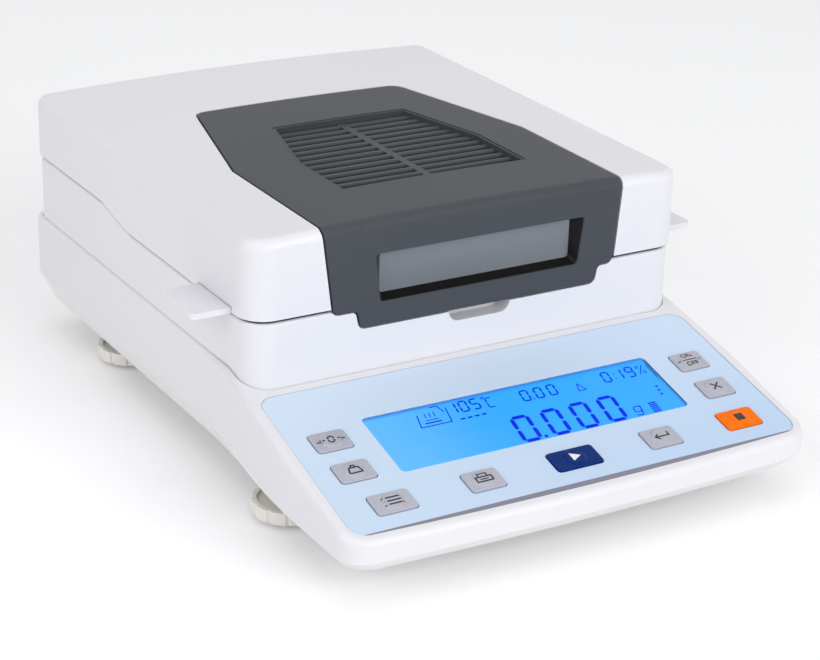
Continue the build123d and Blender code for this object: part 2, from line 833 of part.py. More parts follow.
with BuildPart() as key_board:
    with BuildSketch(console_plane(overlay_mid_y, board_top)):
        board_length = (overlay_top_y - overlay_bottom_y) / cos(slope) - 2 * key_board_margin
        Rectangle(2 * key_board_half, board_length)
    extrude(amount=-board_thickness)
    with BuildSketch(console_plane(display_mid_y, board_top)):
        Rectangle(2 * (display_half_width + key_board_window), display_length + 2 * key_board_window)
    extrude(amount=-board_thickness, mode=Mode.SUBTRACT)
    for post_x, post_y in key_board_posts:
        with BuildSketch(console_plane(post_y, board_top, post_x)):
            Circle(2)
        extrude(amount=under_housing - board_top)
    for name, key_x, key_y, size_x, size_y in keys:
        with BuildSketch(console_plane(key_y, board_top, key_x)):
            Rectangle(switch_size, switch_size)
        extrude(amount=switch_height)
key_board.part.label = "key_board"

key_parts = {}
for name, key_x, key_y, size_x, size_y in keys:
    with BuildPart() as key:
        with BuildSketch(console_plane(key_y, under_housing, key_x)):
            RectangleRounded(size_x, size_y, key_corner)
        extrude(amount=key_height - under_housing)
        top_face = key.faces().sort_by(Axis.Z)[-1]
        fillet(top_face.edges(), key_edge_radius)
        with BuildSketch(console_plane(key_y, under_housing, key_x)):
            RectangleRounded(size_x + 2 * key_flange, size_y + 2 * key_flange, key_corner)
        extrude(amount=-key_flange_thickness)
    key.part.label = name
    key_parts[name] = key.part

# The lid shell: crowned top, rolled edges, open underneath, with a ledge round the cover's hole.
with BuildPart() as cover_seat:
    add(lid_form(cover_thickness))
    add(lid_form(cover_thickness + ledge_thickness, rim_front_z - 1, False), mode=Mode.SUBTRACT)
    add(cover_block(cover_groove + 2), mode=Mode.INTERSECT)
    add(cover_block(-cover_ledge), mode=Mode.SUBTRACT)
    with BuildSketch(Plane.XY.offset(tongue_z)):
        with Locations((0, lid_front_y)):
            Rectangle(2 * cover_half, 30)
    extrude(amount=cover_low_z + 6 - tongue_z, mode=Mode.SUBTRACT)

with BuildPart() as lid_shell:
    add(lid_form())
    add(lid_form(lid_wall, rim_front_z - 1, False), mode=Mode.SUBTRACT)
    add(cover_block(cover_groove), mode=Mode.SUBTRACT)
    add(cover_seat.part)
    for side in (-1, 1):
        with BuildSketch(Plane.YZ.offset(side * lid_half)):
            with Locations(((tab_front_y + tab_rear_y) / 2, rim_front_z + frame_gap)):
                Rectangle(tab_rear_y - tab_front_y + 2 * tab_fit, 2 * (frame_thickness + tab_fit))
        extrude(amount=2 * lid_wall, both=True, mode=Mode.SUBTRACT)
    with BuildSketch(Plane.XY.offset(frame_top_z)):
        with Locations(*lid_screw_places):
            Circle(4)
    extrude(until=Until.NEXT, target=lid_shell.part)
    with BuildSketch(Plane.XY.offset(frame_top_z)):
        with Locations(*lid_screw_places):
            Circle(screw_radius)
    extrude(amount=screw_length, mode=Mode.SUBTRACT)
lid_shell.part.label = "lid_shell"

# The vent's body: a six-sided frame with slats across it and a rib down the middle.
vent_low_z = lid_side_top_z + lid_crown - vent_body_height
with BuildPart() as vent_slats:
    slat_pitch = (vent_rear_y - vent_front_y - 2 * vent_wall) / slat_count
    slat_top_z = lid_side_top_z + lid_crown - slat_drop
    with BuildSketch(Plane.YZ.offset(vent_x - vent_half)):
        with Locations(((vent_rear_y + vent_front_y) / 2, slat_top_z - slat_height / 2)):
            with GridLocations(slat_pitch, 0, slat_count, 1):
                RectangleRounded(slat_width, slat_height, 0.9)
    extrude(amount=2 * vent_half)
    with BuildSketch(Plane.XY.offset(slat_top_z - slat_height)):
        with Locations((vent_x, (vent_rear_y + vent_front_y) / 2)):
            Rectangle(vent_rib, vent_rear_y - vent_front_y)
    extrude(amount=slat_height)
    with BuildSketch(Plane.XY.offset(vent_low_z - 5)):
        add(vent_plan(-vent_fit - vent_wall / 2))
    extrude(amount=40, mode=Mode.INTERSECT)

with BuildPart() as vent_seat:
    with BuildSketch(Plane.XY.offset(vent_low_z + 3)):
        add(vent_plan(vent_flange))
    extrude(amount=20)
    add(lid_form(cover_thickness, rim_front_z, False), mode=Mode.INTERSECT)

with BuildPart() as vent_grille:
    with BuildSketch(Plane.XY.offset(vent_low_z)):
        add(vent_plan(-vent_fit))
    extrude(amount=20)
    add(lid_form(0.4, rim_front_z, False), mode=Mode.INTERSECT)
    add(vent_seat.part)
    with BuildSketch(Plane.XY.offset(vent_low_z - 1)):
        add(vent_plan(-vent_fit - vent_wall))
    extrude(amount=40, mode=Mode.SUBTRACT)
    add(vent_slats.part)
vent_grille.part.label = "vent_grille"

# The dark cover: one moulding over the top and the front, with the window's frame and the tongue.
with BuildPart() as window_recess:
    with BuildSketch(Plane.XZ.offset(-lid_front_y)) as mouth:
        with BuildLine():
            Polyline(
                (front_x - window_half_top, window_top_z),
                (front_x + window_half_top, window_top_z),
                (front_x + window_half_bottom, window_bottom_z),
                (front_x - window_half_bottom, window_bottom_z),
                close=True,
            )
        make_face()
        fillet(mouth.vertices(), window_corner)
    with BuildSketch(Plane.XZ.offset(-lid_front_y - pane_depth)) as throat:
        with Locations((front_x, (pane_top_z + pane_bottom_z) / 2)):
            Rectangle(2 * pane_half, pane_top_z - pane_bottom_z)
        fillet(throat.vertices(), window_corner)
    loft()

with BuildPart() as lid_cover:
    add(lid_form(0, tongue_z, False))
    add(lid_form(cover_thickness, tongue_z - 1, False), mode=Mode.SUBTRACT)
    add(cover_block(), mode=Mode.INTERSECT)
    with BuildSketch(Plane.XZ.offset(-lid_front_y - cover_thickness)):
        with Locations((front_x, (window_top_z + window_frame + frame_low_z) / 2)):
            Rectangle(2 * (window_half_top + window_frame), window_top_z + window_frame - frame_low_z)
    extrude(amount=-(pane_depth + pane_thickness - cover_thickness))
    add(window_recess.part, mode=Mode.SUBTRACT)
    with BuildSketch(Plane.XZ.offset(-lid_front_y - pane_depth)):
        with Locations((front_x, (pane_top_z + pane_bottom_z) / 2)):
            Rectangle(2 * (pane_half + pane_lap), pane_top_z - pane_bottom_z + 2 * pane_lap)
    extrude(amount=-2 * pane_thickness, mode=Mode.SUBTRACT)
    with BuildSketch(Plane.XY.offset(cover_high_z - 10)):
        add(vent_plan())
    extrude(amount=40, mode=Mode.SUBTRACT)
lid_cover.part.label = "lid_cover"

with BuildPart() as window_pane:
    with BuildSketch(Plane.XZ.offset(-lid_front_y - pane_depth)):
        with Locations((front_x, (pane_top_z + pane_bottom_z) / 2)):
            Rectangle(2 * (pane_half + pane_lap), pane_top_z - pane_bottom_z + 2 * pane_lap)
    extrude(amount=-pane_thickness)
window_pane.part.label = "window_pane"

# The frame that closes the lid from below, with lifting tabs at the sides and hinge arms.
frame_half = surround_half - rim_side_width - frame_side_clearance
frame_rear_y = surround_rear_y - rim_rear_width - frame_rear_clearance
frame_front_y = surround_front_y + rim_front_width + frame_side_clearance


def tab_outline():
    """The bar across the lid whose ends are the two lifting tabs."""
    with BuildSketch() as outline:
        with Locations((0, (tab_front_y + tab_rear_y) / 2)):
            Rectangle(2 * (lid_half + tab_reach), tab_rear_y - tab_front_y)
        fillet(outline.vertices().group_by(Axis.Y)[0], tab_corner_front)
        fillet(outline.vertices().group_by(Axis.Y)[-1], tab_corner_rear)
    return outline.sketch


with BuildPart() as lid_frame:
    with BuildSketch(Plane.XY.offset(frame_low_z)):
        add(box_outline(frame_half, frame_front_y, frame_rear_y, rim_side_width))
        add(tab_outline())
        with Locations((-hinge_x, (frame_rear_y + hinge_axis_y) / 2), (hinge_x, (frame_rear_y + hinge_axis_y) / 2)):
            Rectangle(hinge_arm_width, hinge_axis_y - frame_rear_y + 4)
        with Locations((0, chamber_y)):
            Circle(reflector_radius, mode=Mode.SUBTRACT)
    extrude(amount=frame_thickness)
    for side in (-1, 1):
        with BuildSketch(Plane.YZ.offset(side * hinge_x)):
            with Locations((hinge_axis_y, hinge_axis_z)):
                Circle(hinge_boss_radius)
        extrude(amount=hinge_arm_width / 2, both=True)
        with BuildSketch(Plane.YZ.offset(side * hinge_x)):
            with Locations((hinge_axis_y, hinge_axis_z)):
                Circle(pin_radius + pin_fit)
        extrude(amount=hinge_arm_width, both=True, mode=Mode.SUBTRACT)
    with BuildSketch(Plane.XY.offset(frame_low_z)):
        with Locations(*lid_screw_places):
            Circle(screw_radius + 0.2)
    extrude(amount=frame_thickness, mode=Mode.SUBTRACT)
lid_frame.part.label = "lid_frame"

with BuildPart() as lid_screws:
    with Locations(*[(x, y, frame_low_z) for x, y in lid_screw_places]):
        Cylinder(screw_head_radius, screw_head_height, align=(Align.CENTER, Align.CENTER, Align.MAX))
        Cylinder(screw_radius, screw_length, align=(Align.CENTER, Align.CENTER, Align.MIN))
lid_screws.part.label = "lid_screws"

# The heater: a pressed reflector, a ring lamp held by clips, a probe and a slotted heat shield.
reflector_low_z = frame_low_z + frame_thickness
reflector_high_z = reflector_low_z + reflector_height
with BuildPart() as reflector:
    with BuildSketch(Plane.XZ.offset(-chamber_y)):
        with BuildLine():
            Polyline(
                (reflector_radius + reflector_flange, reflector_low_z),
                (reflector_radius + reflector_flange, reflector_low_z + reflector_thickness),
                (reflector_radius, reflector_low_z + reflector_thickness),
                (reflector_top_radius, reflector_high_z + reflector_thickness),
                (8, reflector_high_z + reflector_thickness),
                (8, reflector_high_z),
                (reflector_top_radius - reflector_thickness, reflector_high_z),
                (reflector_radius - reflector_thickness, reflector_low_z),
                close=True,
            )
        make_face()
    revolve(axis=Axis((0, chamber_y, 0), (0, 0, 1)))
reflector.part.label = "reflector"

lamp_z = reflector_high_z - lamp_drop
lamp_sweep = 360 - lamp_gap_angle
with BuildPart() as halogen_lamp:
    with BuildSketch(Plane(origin=(lamp_ring_radius, chamber_y, lamp_z), x_dir=(1, 0, 0), z_dir=(0, -1, 0))):
        Circle(lamp_tube_radius)
    revolve(axis=Axis((0, chamber_y, 0), (0, 0, 1)), revolution_arc=lamp_sweep)
halogen_lamp.part.label = "halogen_lamp"

with BuildPart() as lamp_clips:
    for turn in (60, 180, 300):
        clip_x = lamp_ring_radius * cos(radians(turn))
        clip_y = chamber_y + lamp_ring_radius * sin(radians(turn))
        clip_plane = Plane(origin=(clip_x, clip_y, lamp_z), x_dir=(cos(radians(turn)), sin(radians(turn)), 0),
                           z_dir=(-sin(radians(turn)), cos(radians(turn)), 0))
        with BuildSketch(clip_plane):
            Circle(lamp_tube_radius + 1.1)
            with Locations((0, -(lamp_tube_radius + lamp_drop) / 2)):
                Rectangle(4, lamp_drop - lamp_tube_radius + 3)
            with Locations((0, (lamp_tube_radius + lamp_drop) / 2)):
                Rectangle(4, lamp_drop - lamp_tube_radius + 3)
            Circle(lamp_tube_radius + lamp_fit, mode=Mode.SUBTRACT)
        extrude(amount=clip_width / 2, both=True)
    with BuildSketch(Plane.XY.offset(reflector_high_z)):
        Rectangle(500, 500)
    extrude(amount=40, mode=Mode.SUBTRACT)
lamp_clips.part.label = "lamp_clips"

with BuildPart() as heat_shield:
    shield_z = reflector_high_z + reflector_thickness + heat_shield_gap
    with BuildSketch(Plane.XY.offset(shield_z)):
        with Locations((0, chamber_y)):
            RectangleRounded(110, 110, 10)
            with GridLocations(0, 10, 1, 9):
                SlotOverall(80, 4, mode=Mode.SUBTRACT)
    extrude(amount=heat_shield_thickness)
    with BuildSketch(Plane.XY.offset(reflector_low_z)):
        with Locations((0, chamber_y)):
            with GridLocations(98, 98, 2, 2):
                Circle(2.5)
    extrude(amount=shield_z - reflector_low_z)
heat_shield.part.label = "heat_shield"

with BuildPart() as temperature_sensor:
    with Locations((0, chamber_y, reflector_high_z + reflector_thickness)):
        Cylinder(sensor_radius, sensor_drop + 2, align=(Align.CENTER, Align.CENTER, Align.MAX))
        Cylinder(9, 1.6, align=(Align.CENTER, Align.CENTER, Align.MIN))
temperature_sensor.part.label = "temperature_sensor"

# The balance inside the base: a cast frame and a one-piece load cell cut for two flexing beams.
tray_top_z = floor_clearance + tray_floor
with BuildPart() as load_cell_frame:
    with BuildSketch(Plane.XY.offset(tray_top_z)):
        with Locations((0, chamber_y)):
            RectangleRounded(110, 120, 8)
            Rectangle(60, 50, mode=Mode.SUBTRACT)
    extrude(amount=8)
    with BuildSketch(Plane.XY.offset(tray_top_z)):
        with Locations((0, chamber_y + 48)):
            Rectangle(50, 20)
    extrude(amount=14)
load_cell_frame.part.label = "load_cell_frame"

with BuildPart() as load_cell:
    cell_low_z = tray_top_z + 14
    with BuildSketch(Plane.YZ):
        with Locations((chamber_y + 24, (cell_low_z + load_cell_top_z) / 2)):
            Rectangle(68, load_cell_top_z - cell_low_z)
        with Locations((chamber_y + 22, (cell_low_z + load_cell_top_z) / 2)):
            SlotOverall(36, 7, mode=Mode.SUBTRACT)
    extrude(amount=14, both=True)
load_cell.part.label = "load_cell"

with BuildPart() as main_board:
    with BuildSketch(Plane.XY.offset(tray_top_z + 5)):
        with Locations((0, main_board_y)):
            Rectangle(150, 60)
    extrude(amount=board_thickness)
    with BuildSketch(Plane.XY.offset(tray_top_z)):
        with Locations((0, main_board_y)):
            with GridLocations(140, 50, 2, 2):
                Circle(3)
    extrude(amount=5)
    with BuildSketch(Plane.XY.offset(tray_top_z + 5 + board_thickness)):
        with Locations((-30, main_board_y + 8)):
            Rectangle(18, 18)
        with Locations((35, main_board_y + 8)):
            Rectangle(30, 10)
    extrude(amount=3)
main_board.part.label = "main_board"

with BuildPart() as power_supply:
    with BuildSketch(Plane.XY.offset(tray_top_z + 5)):
        with Locations((supply_x, supply_y)):
            Rectangle(supply_width, supply_length)
    extrude(amount=board_thickness)
    with BuildSketch(Plane.XY.offset(tray_top_z)):
        with Locations((supply_x, supply_y)):
            with GridLocations(supply_width - 10, supply_length - 10, 2, 2):
                Circle(3)
    extrude(amount=5)
    with BuildSketch(Plane.XY.offset(tray_top_z + 5 + board_thickness)):
        with Locations((supply_x - 12, supply_y)):
            Rectangle(34, 30)
        with Locations((supply_x + 22, supply_y)):
            Rectangle(14, 28)
    extrude(amount=22)
power_supply.part.label = "power_supply"

# The rear sockets, flush with the housing's back wall.
with BuildPart() as power_inlet:
    with BuildSketch(Plane.XZ.offset(-rear_y)):
        with Locations((inlet_x, inlet_z)):
            RectangleRounded(inlet_width, inlet_height, 1.5)
    extrude(amount=inlet_depth)
    with BuildSketch(Plane.XZ.offset(-rear_y)):
        with Locations((inlet_x, inlet_z)):
            Rectangle(22.5, 14.5)
    extrude(amount=16, mode=Mode.SUBTRACT)
    with BuildSketch(Plane.XZ.offset(-rear_y + 16)):
        with Locations((inlet_x - 6, inlet_z - 1.5), (inlet_x, inlet_z + 2), (inlet_x + 6, inlet_z - 1.5)):
            Rectangle(2, 4)
    extrude(amount=-10)
power_inlet.part.label = "power_inlet"

with BuildPart() as data_port:
    with BuildSketch(Plane.XZ.offset(-rear_y)):
        with Locations((port_x, port_z)):
            RectangleRounded(port_width, port_height, 1.5)
    extrude(amount=12)
    with BuildSketch(Plane.XZ.offset(-rear_y)):
        with Locations((port_x, port_z)):
            Trapezoid(18, 9.4, 80, rotation=180)
            Trapezoid(16, 7.4, 80, rotation=180, mode=Mode.SUBTRACT)
    extrude(amount=2, mode=Mode.SUBTRACT)
    with BuildSketch(Plane.XZ.offset(-rear_y)):
        with Locations((port_x, port_z + 1.4)):
            with GridLocations(2.74, 0, 5, 1):
                Circle(0.5)
        with Locations((port_x, port_z - 1.4)):
            with GridLocations(2.74, 0, 4, 1):
                Circle(0.5)
    extrude(amount=4.5, mode=Mode.SUBTRACT)
data_port.part.label = "data_port"

# The spirit level on the sill, seen when the lid is up.
with BuildPart() as level_cup:
    with Locations((level_x, level_y, sill_z)):
        Cylinder(level_radius, level_height, align=(Align.CENTER, Align.CENTER, Align.MIN))
    with BuildSketch(Plane.XY.offset(sill_z + 1)):
        with Locations((level_x, level_y)):
            Circle(level_radius - 2)
    extrude(amount=level_height, mode=Mode.SUBTRACT)
level_cup.part.label = "level_cup"

with BuildPart() as level_vial:
    with BuildSketch(Plane.XY.offset(sill_z + 1)):
        with Locations((level_x, level_y)):
            Circle(level_radius - 2)
    extrude(amount=2.7)
level_vial.part.label = "level_vial"

# The levelling feet: a notched thumbwheel on a stud, and the rubber pad that it stands on.
wheel_low_z = pad_thickness + foot_gap
foot_parts = {}
for name, foot_x, foot_y in foot_places:
    with BuildPart() as pad:
        with BuildSketch(Plane.XY):
            with Locations((foot_x, foot_y)):
                Circle(pad_radius)
        extrude(amount=pad_thickness)
        fillet(pad.edges().group_by(Axis.Z)[-1], 0.6)
    with BuildPart() as wheel:
        with BuildSketch(Plane.XY.offset(wheel_low_z)):
            with Locations((foot_x, foot_y)):
                Circle(wheel_radius)
                with PolarLocations(wheel_radius + wheel_notch_radius * 0.4, wheel_notches):
                    Circle(wheel_notch_radius, mode=Mode.SUBTRACT)
        extrude(amount=wheel_thickness)
        with BuildSketch(Plane.XY.offset(wheel_low_z + wheel_thickness)):
            with Locations((foot_x, foot_y)):
                Circle(wheel_radius - wheel_rim)
        extrude(amount=-wheel_dish, mode=Mode.SUBTRACT)
        with BuildSketch(Plane.XY.offset(wheel_low_z + wheel_thickness - wheel_dish)):
            with Locations((foot_x, foot_y)):
                Circle(stud_radius)
        extrude(amount=floor_clearance + foot_boss_height - wheel_low_z - wheel_thickness)
    pad.part.label = "foot_pad_" + name
    wheel.part.label = "foot_wheel_" + name
    foot_parts[pad.part.label] = pad.part
    foot_parts[wheel.part.label] = wheel.part

finished = [
    bottom_tray, base_housing, tray_screws, chamber_surround, hinge_pins, chamber_liner,
    draft_shield, pan_support, sample_pan, console_overlay, display_window, lcd_module, key_board,
    lid_shell, vent_grille, lid_cover, window_pane, lid_frame, lid_screws, reflector,
    halogen_lamp, lamp_clips, heat_shield, temperature_sensor, load_cell_frame, load_cell,
    main_board, power_supply, power_inlet, data_port, level_cup, level_vial,
]
for builder in finished:
    export_step(builder.part, f"parts/{builder.part.label}.step")
for name, solid in {**key_parts, **foot_parts}.items():
    export_step(solid, f"parts/{name}.step")
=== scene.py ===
# Moisture analyzer, dressed for the studio: looks only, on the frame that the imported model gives.
from math import cos, radians, sin, tau

import bmesh
import bpy
from mathutils import Matrix, Quaternion, Vector


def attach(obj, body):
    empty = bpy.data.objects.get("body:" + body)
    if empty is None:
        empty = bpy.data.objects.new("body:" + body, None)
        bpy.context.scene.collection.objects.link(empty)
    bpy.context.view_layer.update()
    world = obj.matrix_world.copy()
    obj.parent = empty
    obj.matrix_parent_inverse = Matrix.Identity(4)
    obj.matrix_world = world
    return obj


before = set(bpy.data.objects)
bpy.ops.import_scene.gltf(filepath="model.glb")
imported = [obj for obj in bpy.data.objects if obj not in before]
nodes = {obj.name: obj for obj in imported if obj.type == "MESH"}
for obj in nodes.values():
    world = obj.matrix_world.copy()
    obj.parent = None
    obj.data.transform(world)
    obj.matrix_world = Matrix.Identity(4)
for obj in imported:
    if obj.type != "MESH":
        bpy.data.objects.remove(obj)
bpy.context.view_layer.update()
MM = 0.001
bpy.context.scene.view_settings.view_transform = "Standard"

# Camera: a long lens in front of the left corner, a little above the lid, held slightly askew.
camera_place = Vector((-0.4835, -0.8205, 0.4358))
camera_target = Vector((0.0129, 0.0065, 0.0316))
camera_roll = radians(1.71)
camera_data = bpy.data.cameras.new("camera")
camera_data.lens = 100.0
camera_data.sensor_width = 36.0
camera = bpy.data.objects.new("camera", camera_data)
bpy.context.scene.collection.objects.link(camera)
camera.rotation_mode = "QUATERNION"
look = (camera_target - camera_place).to_track_quat("-Z", "Y")
camera.rotation_quaternion = look @ Quaternion((0, 0, 1), camera_roll)
camera.location = camera_place
bpy.context.scene.camera = camera

# Studio: a pale floor that keeps the shadow, a white surround for camera and gloss, and soft lamps
# at the front, above and at the left.
def seen_straight(tree):
    """A mask for what the camera sees straight on, in a reflection or through glass."""
    path = tree.nodes.new("ShaderNodeLightPath")
    seen = path.outputs["Is Camera Ray"]
    for kind in ("Is Glossy Ray", "Is Transmission Ray"):
        either = tree.nodes.new("ShaderNodeMath")
        either.operation = "MAXIMUM"
        tree.links.new(seen, either.inputs[0])
        tree.links.new(path.outputs[kind], either.inputs[1])
        seen = either.outputs[0]
    return seen


floor_size = 12.0
floor_paint = 0.96
floor_glow = 0.12
ambient_level = 0.52
bm = bmesh.new()
bmesh.ops.create_grid(bm, x_segments=1, y_segments=1, size=floor_size / 2)
floor_mesh = bpy.data.meshes.new("floor")
bm.to_mesh(floor_mesh)
bm.free()
floor = bpy.data.objects.new("floor", floor_mesh)
bpy.context.scene.collection.objects.link(floor)
floor_material = bpy.data.materials.new("pale_floor")
floor_material.use_nodes = True
tree = floor_material.node_tree
tree.nodes.clear()
output = tree.nodes.new("ShaderNodeOutputMaterial")
paint = tree.nodes.new("ShaderNodeBsdfDiffuse")
paint.inputs["Color"].default_value = (floor_paint, floor_paint, floor_paint, 1)
lift = tree.nodes.new("ShaderNodeEmission")
lift.inputs["Color"].default_value = (1, 1, 1, 1)
lifted = tree.nodes.new("ShaderNodeMath")
lifted.operation = "MULTIPLY"
lifted.inputs[1].default_value = floor_glow
both = tree.nodes.new("ShaderNodeAddShader")
tree.links.new(seen_straight(tree), lifted.inputs[0])
tree.links.new(lifted.outputs[0], lift.inputs["Strength"])
tree.links.new(paint.outputs[0], both.inputs[0])
tree.links.new(lift.outputs[0], both.inputs[1])
tree.links.new(both.outputs[0], output.inputs["Surface"])
floor_mesh.materials.append(floor_material)

world = bpy.data.worlds.new("studio")
bpy.context.scene.world = world
world.use_nodes = True
tree = world.node_tree
tree.nodes.clear()
output = tree.nodes.new("ShaderNodeOutputWorld")
ambient = tree.nodes.new("ShaderNodeBackground")
ambient.inputs["Color"].default_value = (0.97, 0.98, 1.0, 1)
ambient.inputs["Strength"].default_value = ambient_level
backdrop = tree.nodes.new("ShaderNodeBackground")
backdrop.inputs["Color"].default_value = (1, 1, 1, 1)
backdrop.inputs["Strength"].default_value = 1.0
pick = tree.nodes.new("ShaderNodeMixShader")
tree.links.new(seen_straight(tree), pick.inputs[0])
tree.links.new(ambient.outputs[0], pick.inputs[1])
tree.links.new(backdrop.outputs[0], pick.inputs[2])
tree.links.new(pick.outputs[0], output.inputs["Surface"])

lamps = [
    ("key_lamp", (0.5, -2.0, 0.9), 1.4, 22.0),
    ("top_lamp", (0.0, 0.3, 2.2), 2.2, 9.0),
    ("left_fill", (-1.8, -0.6, 0.9), 1.5, 12.0),
]
for lamp_name, lamp_place, lamp_size, lamp_power in lamps:
    lamp_data = bpy.data.lights.new(lamp_name, "AREA")
    lamp_data.energy = lamp_power
    lamp_data.size = lamp_size
    lamp = bpy.data.objects.new(lamp_name, lamp_data)
    bpy.context.scene.collection.objects.link(lamp)
    lamp.location = lamp_place
    lamp.rotation_mode = "QUATERNION"
    lamp.rotation_quaternion = (Vector((0, 0, 0.06)) - Vector(lamp_place)).to_track_quat("-Z", "Y")


# White mouldings: the upper housing, the collar round the chamber, the lid and its frame with
# the lifting tabs are injection-moulded in a cool white with a fine matt surface.
def new_material(name):
    """A material with a Principled BSDF, and a shortcut to its nodes and links."""
    material = bpy.data.materials.new(name)
    material.use_nodes = True
    tree = material.node_tree
    return material, tree, tree.nodes["Principled BSDF"]


def moulded_finish():
    """A node group for moulded plastic: a faint mottle in the colour and a fine matt grain."""
    group = bpy.data.node_groups.new("moulded_finish", "ShaderNodeTree")
    face = group.interface
    face.new_socket("Colour", in_out="INPUT", socket_type="NodeSocketColor")
    face.new_socket("Shade", in_out="INPUT", socket_type="NodeSocketColor")
    roughness = face.new_socket("Roughness", in_out="INPUT", socket_type="NodeSocketFloat")
    grain = face.new_socket("Grain", in_out="INPUT", socket_type="NodeSocketFloat")
    face.new_socket("Colour", in_out="OUTPUT", socket_type="NodeSocketColor")
    face.new_socket("Roughness", in_out="OUTPUT", socket_type="NodeSocketFloat")
    face.new_socket("Normal", in_out="OUTPUT", socket_type="NodeSocketVector")
    roughness.default_value = 0.4
    grain.default_value = 0.1
    start = group.nodes.new("NodeGroupInput")
    end = group.nodes.new("NodeGroupOutput")
    place = group.nodes.new("ShaderNodeTexCoord")
    mottle = group.nodes.new("ShaderNodeTexNoise")
    mottle.inputs["Scale"].default_value = 9.0
    mottle.inputs["Detail"].default_value = 3.0
    spark = group.nodes.new("ShaderNodeTexNoise")
    spark.inputs["Scale"].default_value = 1700.0
    spark.inputs["Detail"].default_value = 2.0
    blend = group.nodes.new("ShaderNodeMix")
    blend.data_type = "RGBA"
    spread = group.nodes.new("ShaderNodeMapRange")
    spread.inputs["From Min"].default_value = 0.35
    spread.inputs["From Max"].default_value = 0.7
    vary = group.nodes.new("ShaderNodeMapRange")
    vary.inputs["To Min"].default_value = -0.05
    vary.inputs["To Max"].default_value = 0.05
    total = group.nodes.new("ShaderNodeMath")
    total.operation = "ADD"
    bump = group.nodes.new("ShaderNodeBump")
    bump.inputs["Distance"].default_value = 0.00006
    links = group.links
    links.new(place.outputs["Object"], mottle.inputs["Vector"])
    links.new(place.outputs["Object"], spark.inputs["Vector"])
    links.new(mottle.outputs["Fac"], spread.inputs["Value"])
    links.new(spread.outputs["Result"], blend.inputs["Factor"])
    links.new(start.outputs["Colour"], blend.inputs["A"])
    links.new(start.outputs["Shade"], blend.inputs["B"])
    links.new(blend.outputs["Result"], end.inputs["Colour"])
    links.new(spark.outputs["Fac"], vary.inputs["Value"])
    links.new(start.outputs["Roughness"], total.inputs[0])
    links.new(vary.outputs["Result"], total.inputs[1])
    links.new(total.outputs[0], end.inputs["Roughness"])
    links.new(spark.outputs["Fac"], bump.inputs["Height"])
    links.new(start.outputs["Grain"], bump.inputs["Strength"])
    links.new(bump.outputs["Normal"], end.inputs["Normal"])
    return group


finish_group = moulded_finish()


def moulded(name, colour, shade, roughness, grain, specular=0.5):
    """A moulded plastic in one colour, with its own roughness, grain and reflectance."""
    material, tree, shader = new_material(name)
    finish = tree.nodes.new("ShaderNodeGroup")
    finish.name = "finish"
    finish.node_tree = finish_group
    finish.inputs["Colour"].default_value = (*colour, 1)
    finish.inputs["Shade"].default_value = (*shade, 1)
    finish.inputs["Roughness"].default_value = roughness
    finish.inputs["Grain"].default_value = grain
    shader.inputs["Specular IOR Level"].default_value = specular
    tree.links.new(finish.outputs["Colour"], shader.inputs["Base Color"])
    tree.links.new(finish.outputs["Roughness"], shader.inputs["Roughness"])
    tree.links.new(finish.outputs["Normal"], shader.inputs["Normal"])
    return material


def dress(material, *names):
    """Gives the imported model's pieces their finish."""
    for name in names:
        mesh = nodes[name].data
        mesh.materials.clear()
        mesh.materials.append(material)

white_moulding = moulded("white_moulding", (0.775, 0.772, 0.805), (0.755, 0.752, 0.787), 0.38, 0.10)
dress(white_moulding, "base_housing", "chamber_surround", "lid_shell", "lid_frame", "level_cup")

# Tray: the lower half of the base, moulded in a more neutral white. Its colour is painted lighter
# than the housing's, as painted light for the light it gets from below. The housing sits on its
# edge, and six screws hold the two together from below.
# Painted light: the tray is lighter than the same plastic above it.
tray_painted_lighter = moulded("tray_painted_lighter", (0.835, 0.835, 0.840), (0.815, 0.815, 0.820), 0.42, 0.12)
dress(tray_painted_lighter, "bottom_tray")

# Levelling feet: a pale beige thumbwheel moulded round a threaded stud, which screws into the tray.
# Each stands on a black rubber pad.
wheel_moulding = moulded("wheel_moulding", (0.86, 0.825, 0.775), (0.82, 0.785, 0.735), 0.42, 0.12)
pad_rubber = moulded("pad_rubber", (0.030, 0.030, 0.032), (0.024, 0.024, 0.026), 0.75, 0.30)
feet = ["front_left", "front_right", "rear_left", "rear_right"]
for foot in feet:
    dress(wheel_moulding, "foot_wheel_" + foot)
    dress(pad_rubber, "foot_pad_" + foot)

# Console overlay: a polyester film printed in pale blue from behind, lightest at its upper left,
# with a grey band along its bowed lower edge. It is stuck into a shallow recess of the slope.
console_slope = radians(14.0)
console_origin = Vector((0, -69.3, 52.4)) * MM
console = Matrix.Translation(console_origin) @ Matrix.Rotation(console_slope, 4, "X")
film_thickness = 0.6
band_line = -90.4


def along_console(tree):
    """Object coordinates turned into the console's own: X right, Y up the slope, Z out of it."""
    place = tree.nodes.new("ShaderNodeTexCoord")
    turn = tree.nodes.new("ShaderNodeMapping")
    turn.vector_type = "TEXTURE"
    turn.inputs["Location"].default_value = console_origin
    turn.inputs["Rotation"].default_value = (console_slope, 0, 0)
    tree.links.new(place.outputs["Object"], turn.inputs["Vector"])
    parts = tree.nodes.new("ShaderNodeSeparateXYZ")
    tree.links.new(turn.outputs["Vector"], parts.inputs["Vector"])
    return parts


def step_mask(tree, source, low, high):
    """A smooth mask that rises from 0 to 1 between two values of its source."""
    ramp = tree.nodes.new("ShaderNodeMapRange")
    ramp.interpolation_type = "SMOOTHSTEP"
    ramp.inputs["From Min"].default_value = low
    ramp.inputs["From Max"].default_value = high
    tree.links.new(source, ramp.inputs["Value"])
    return ramp.outputs["Result"]


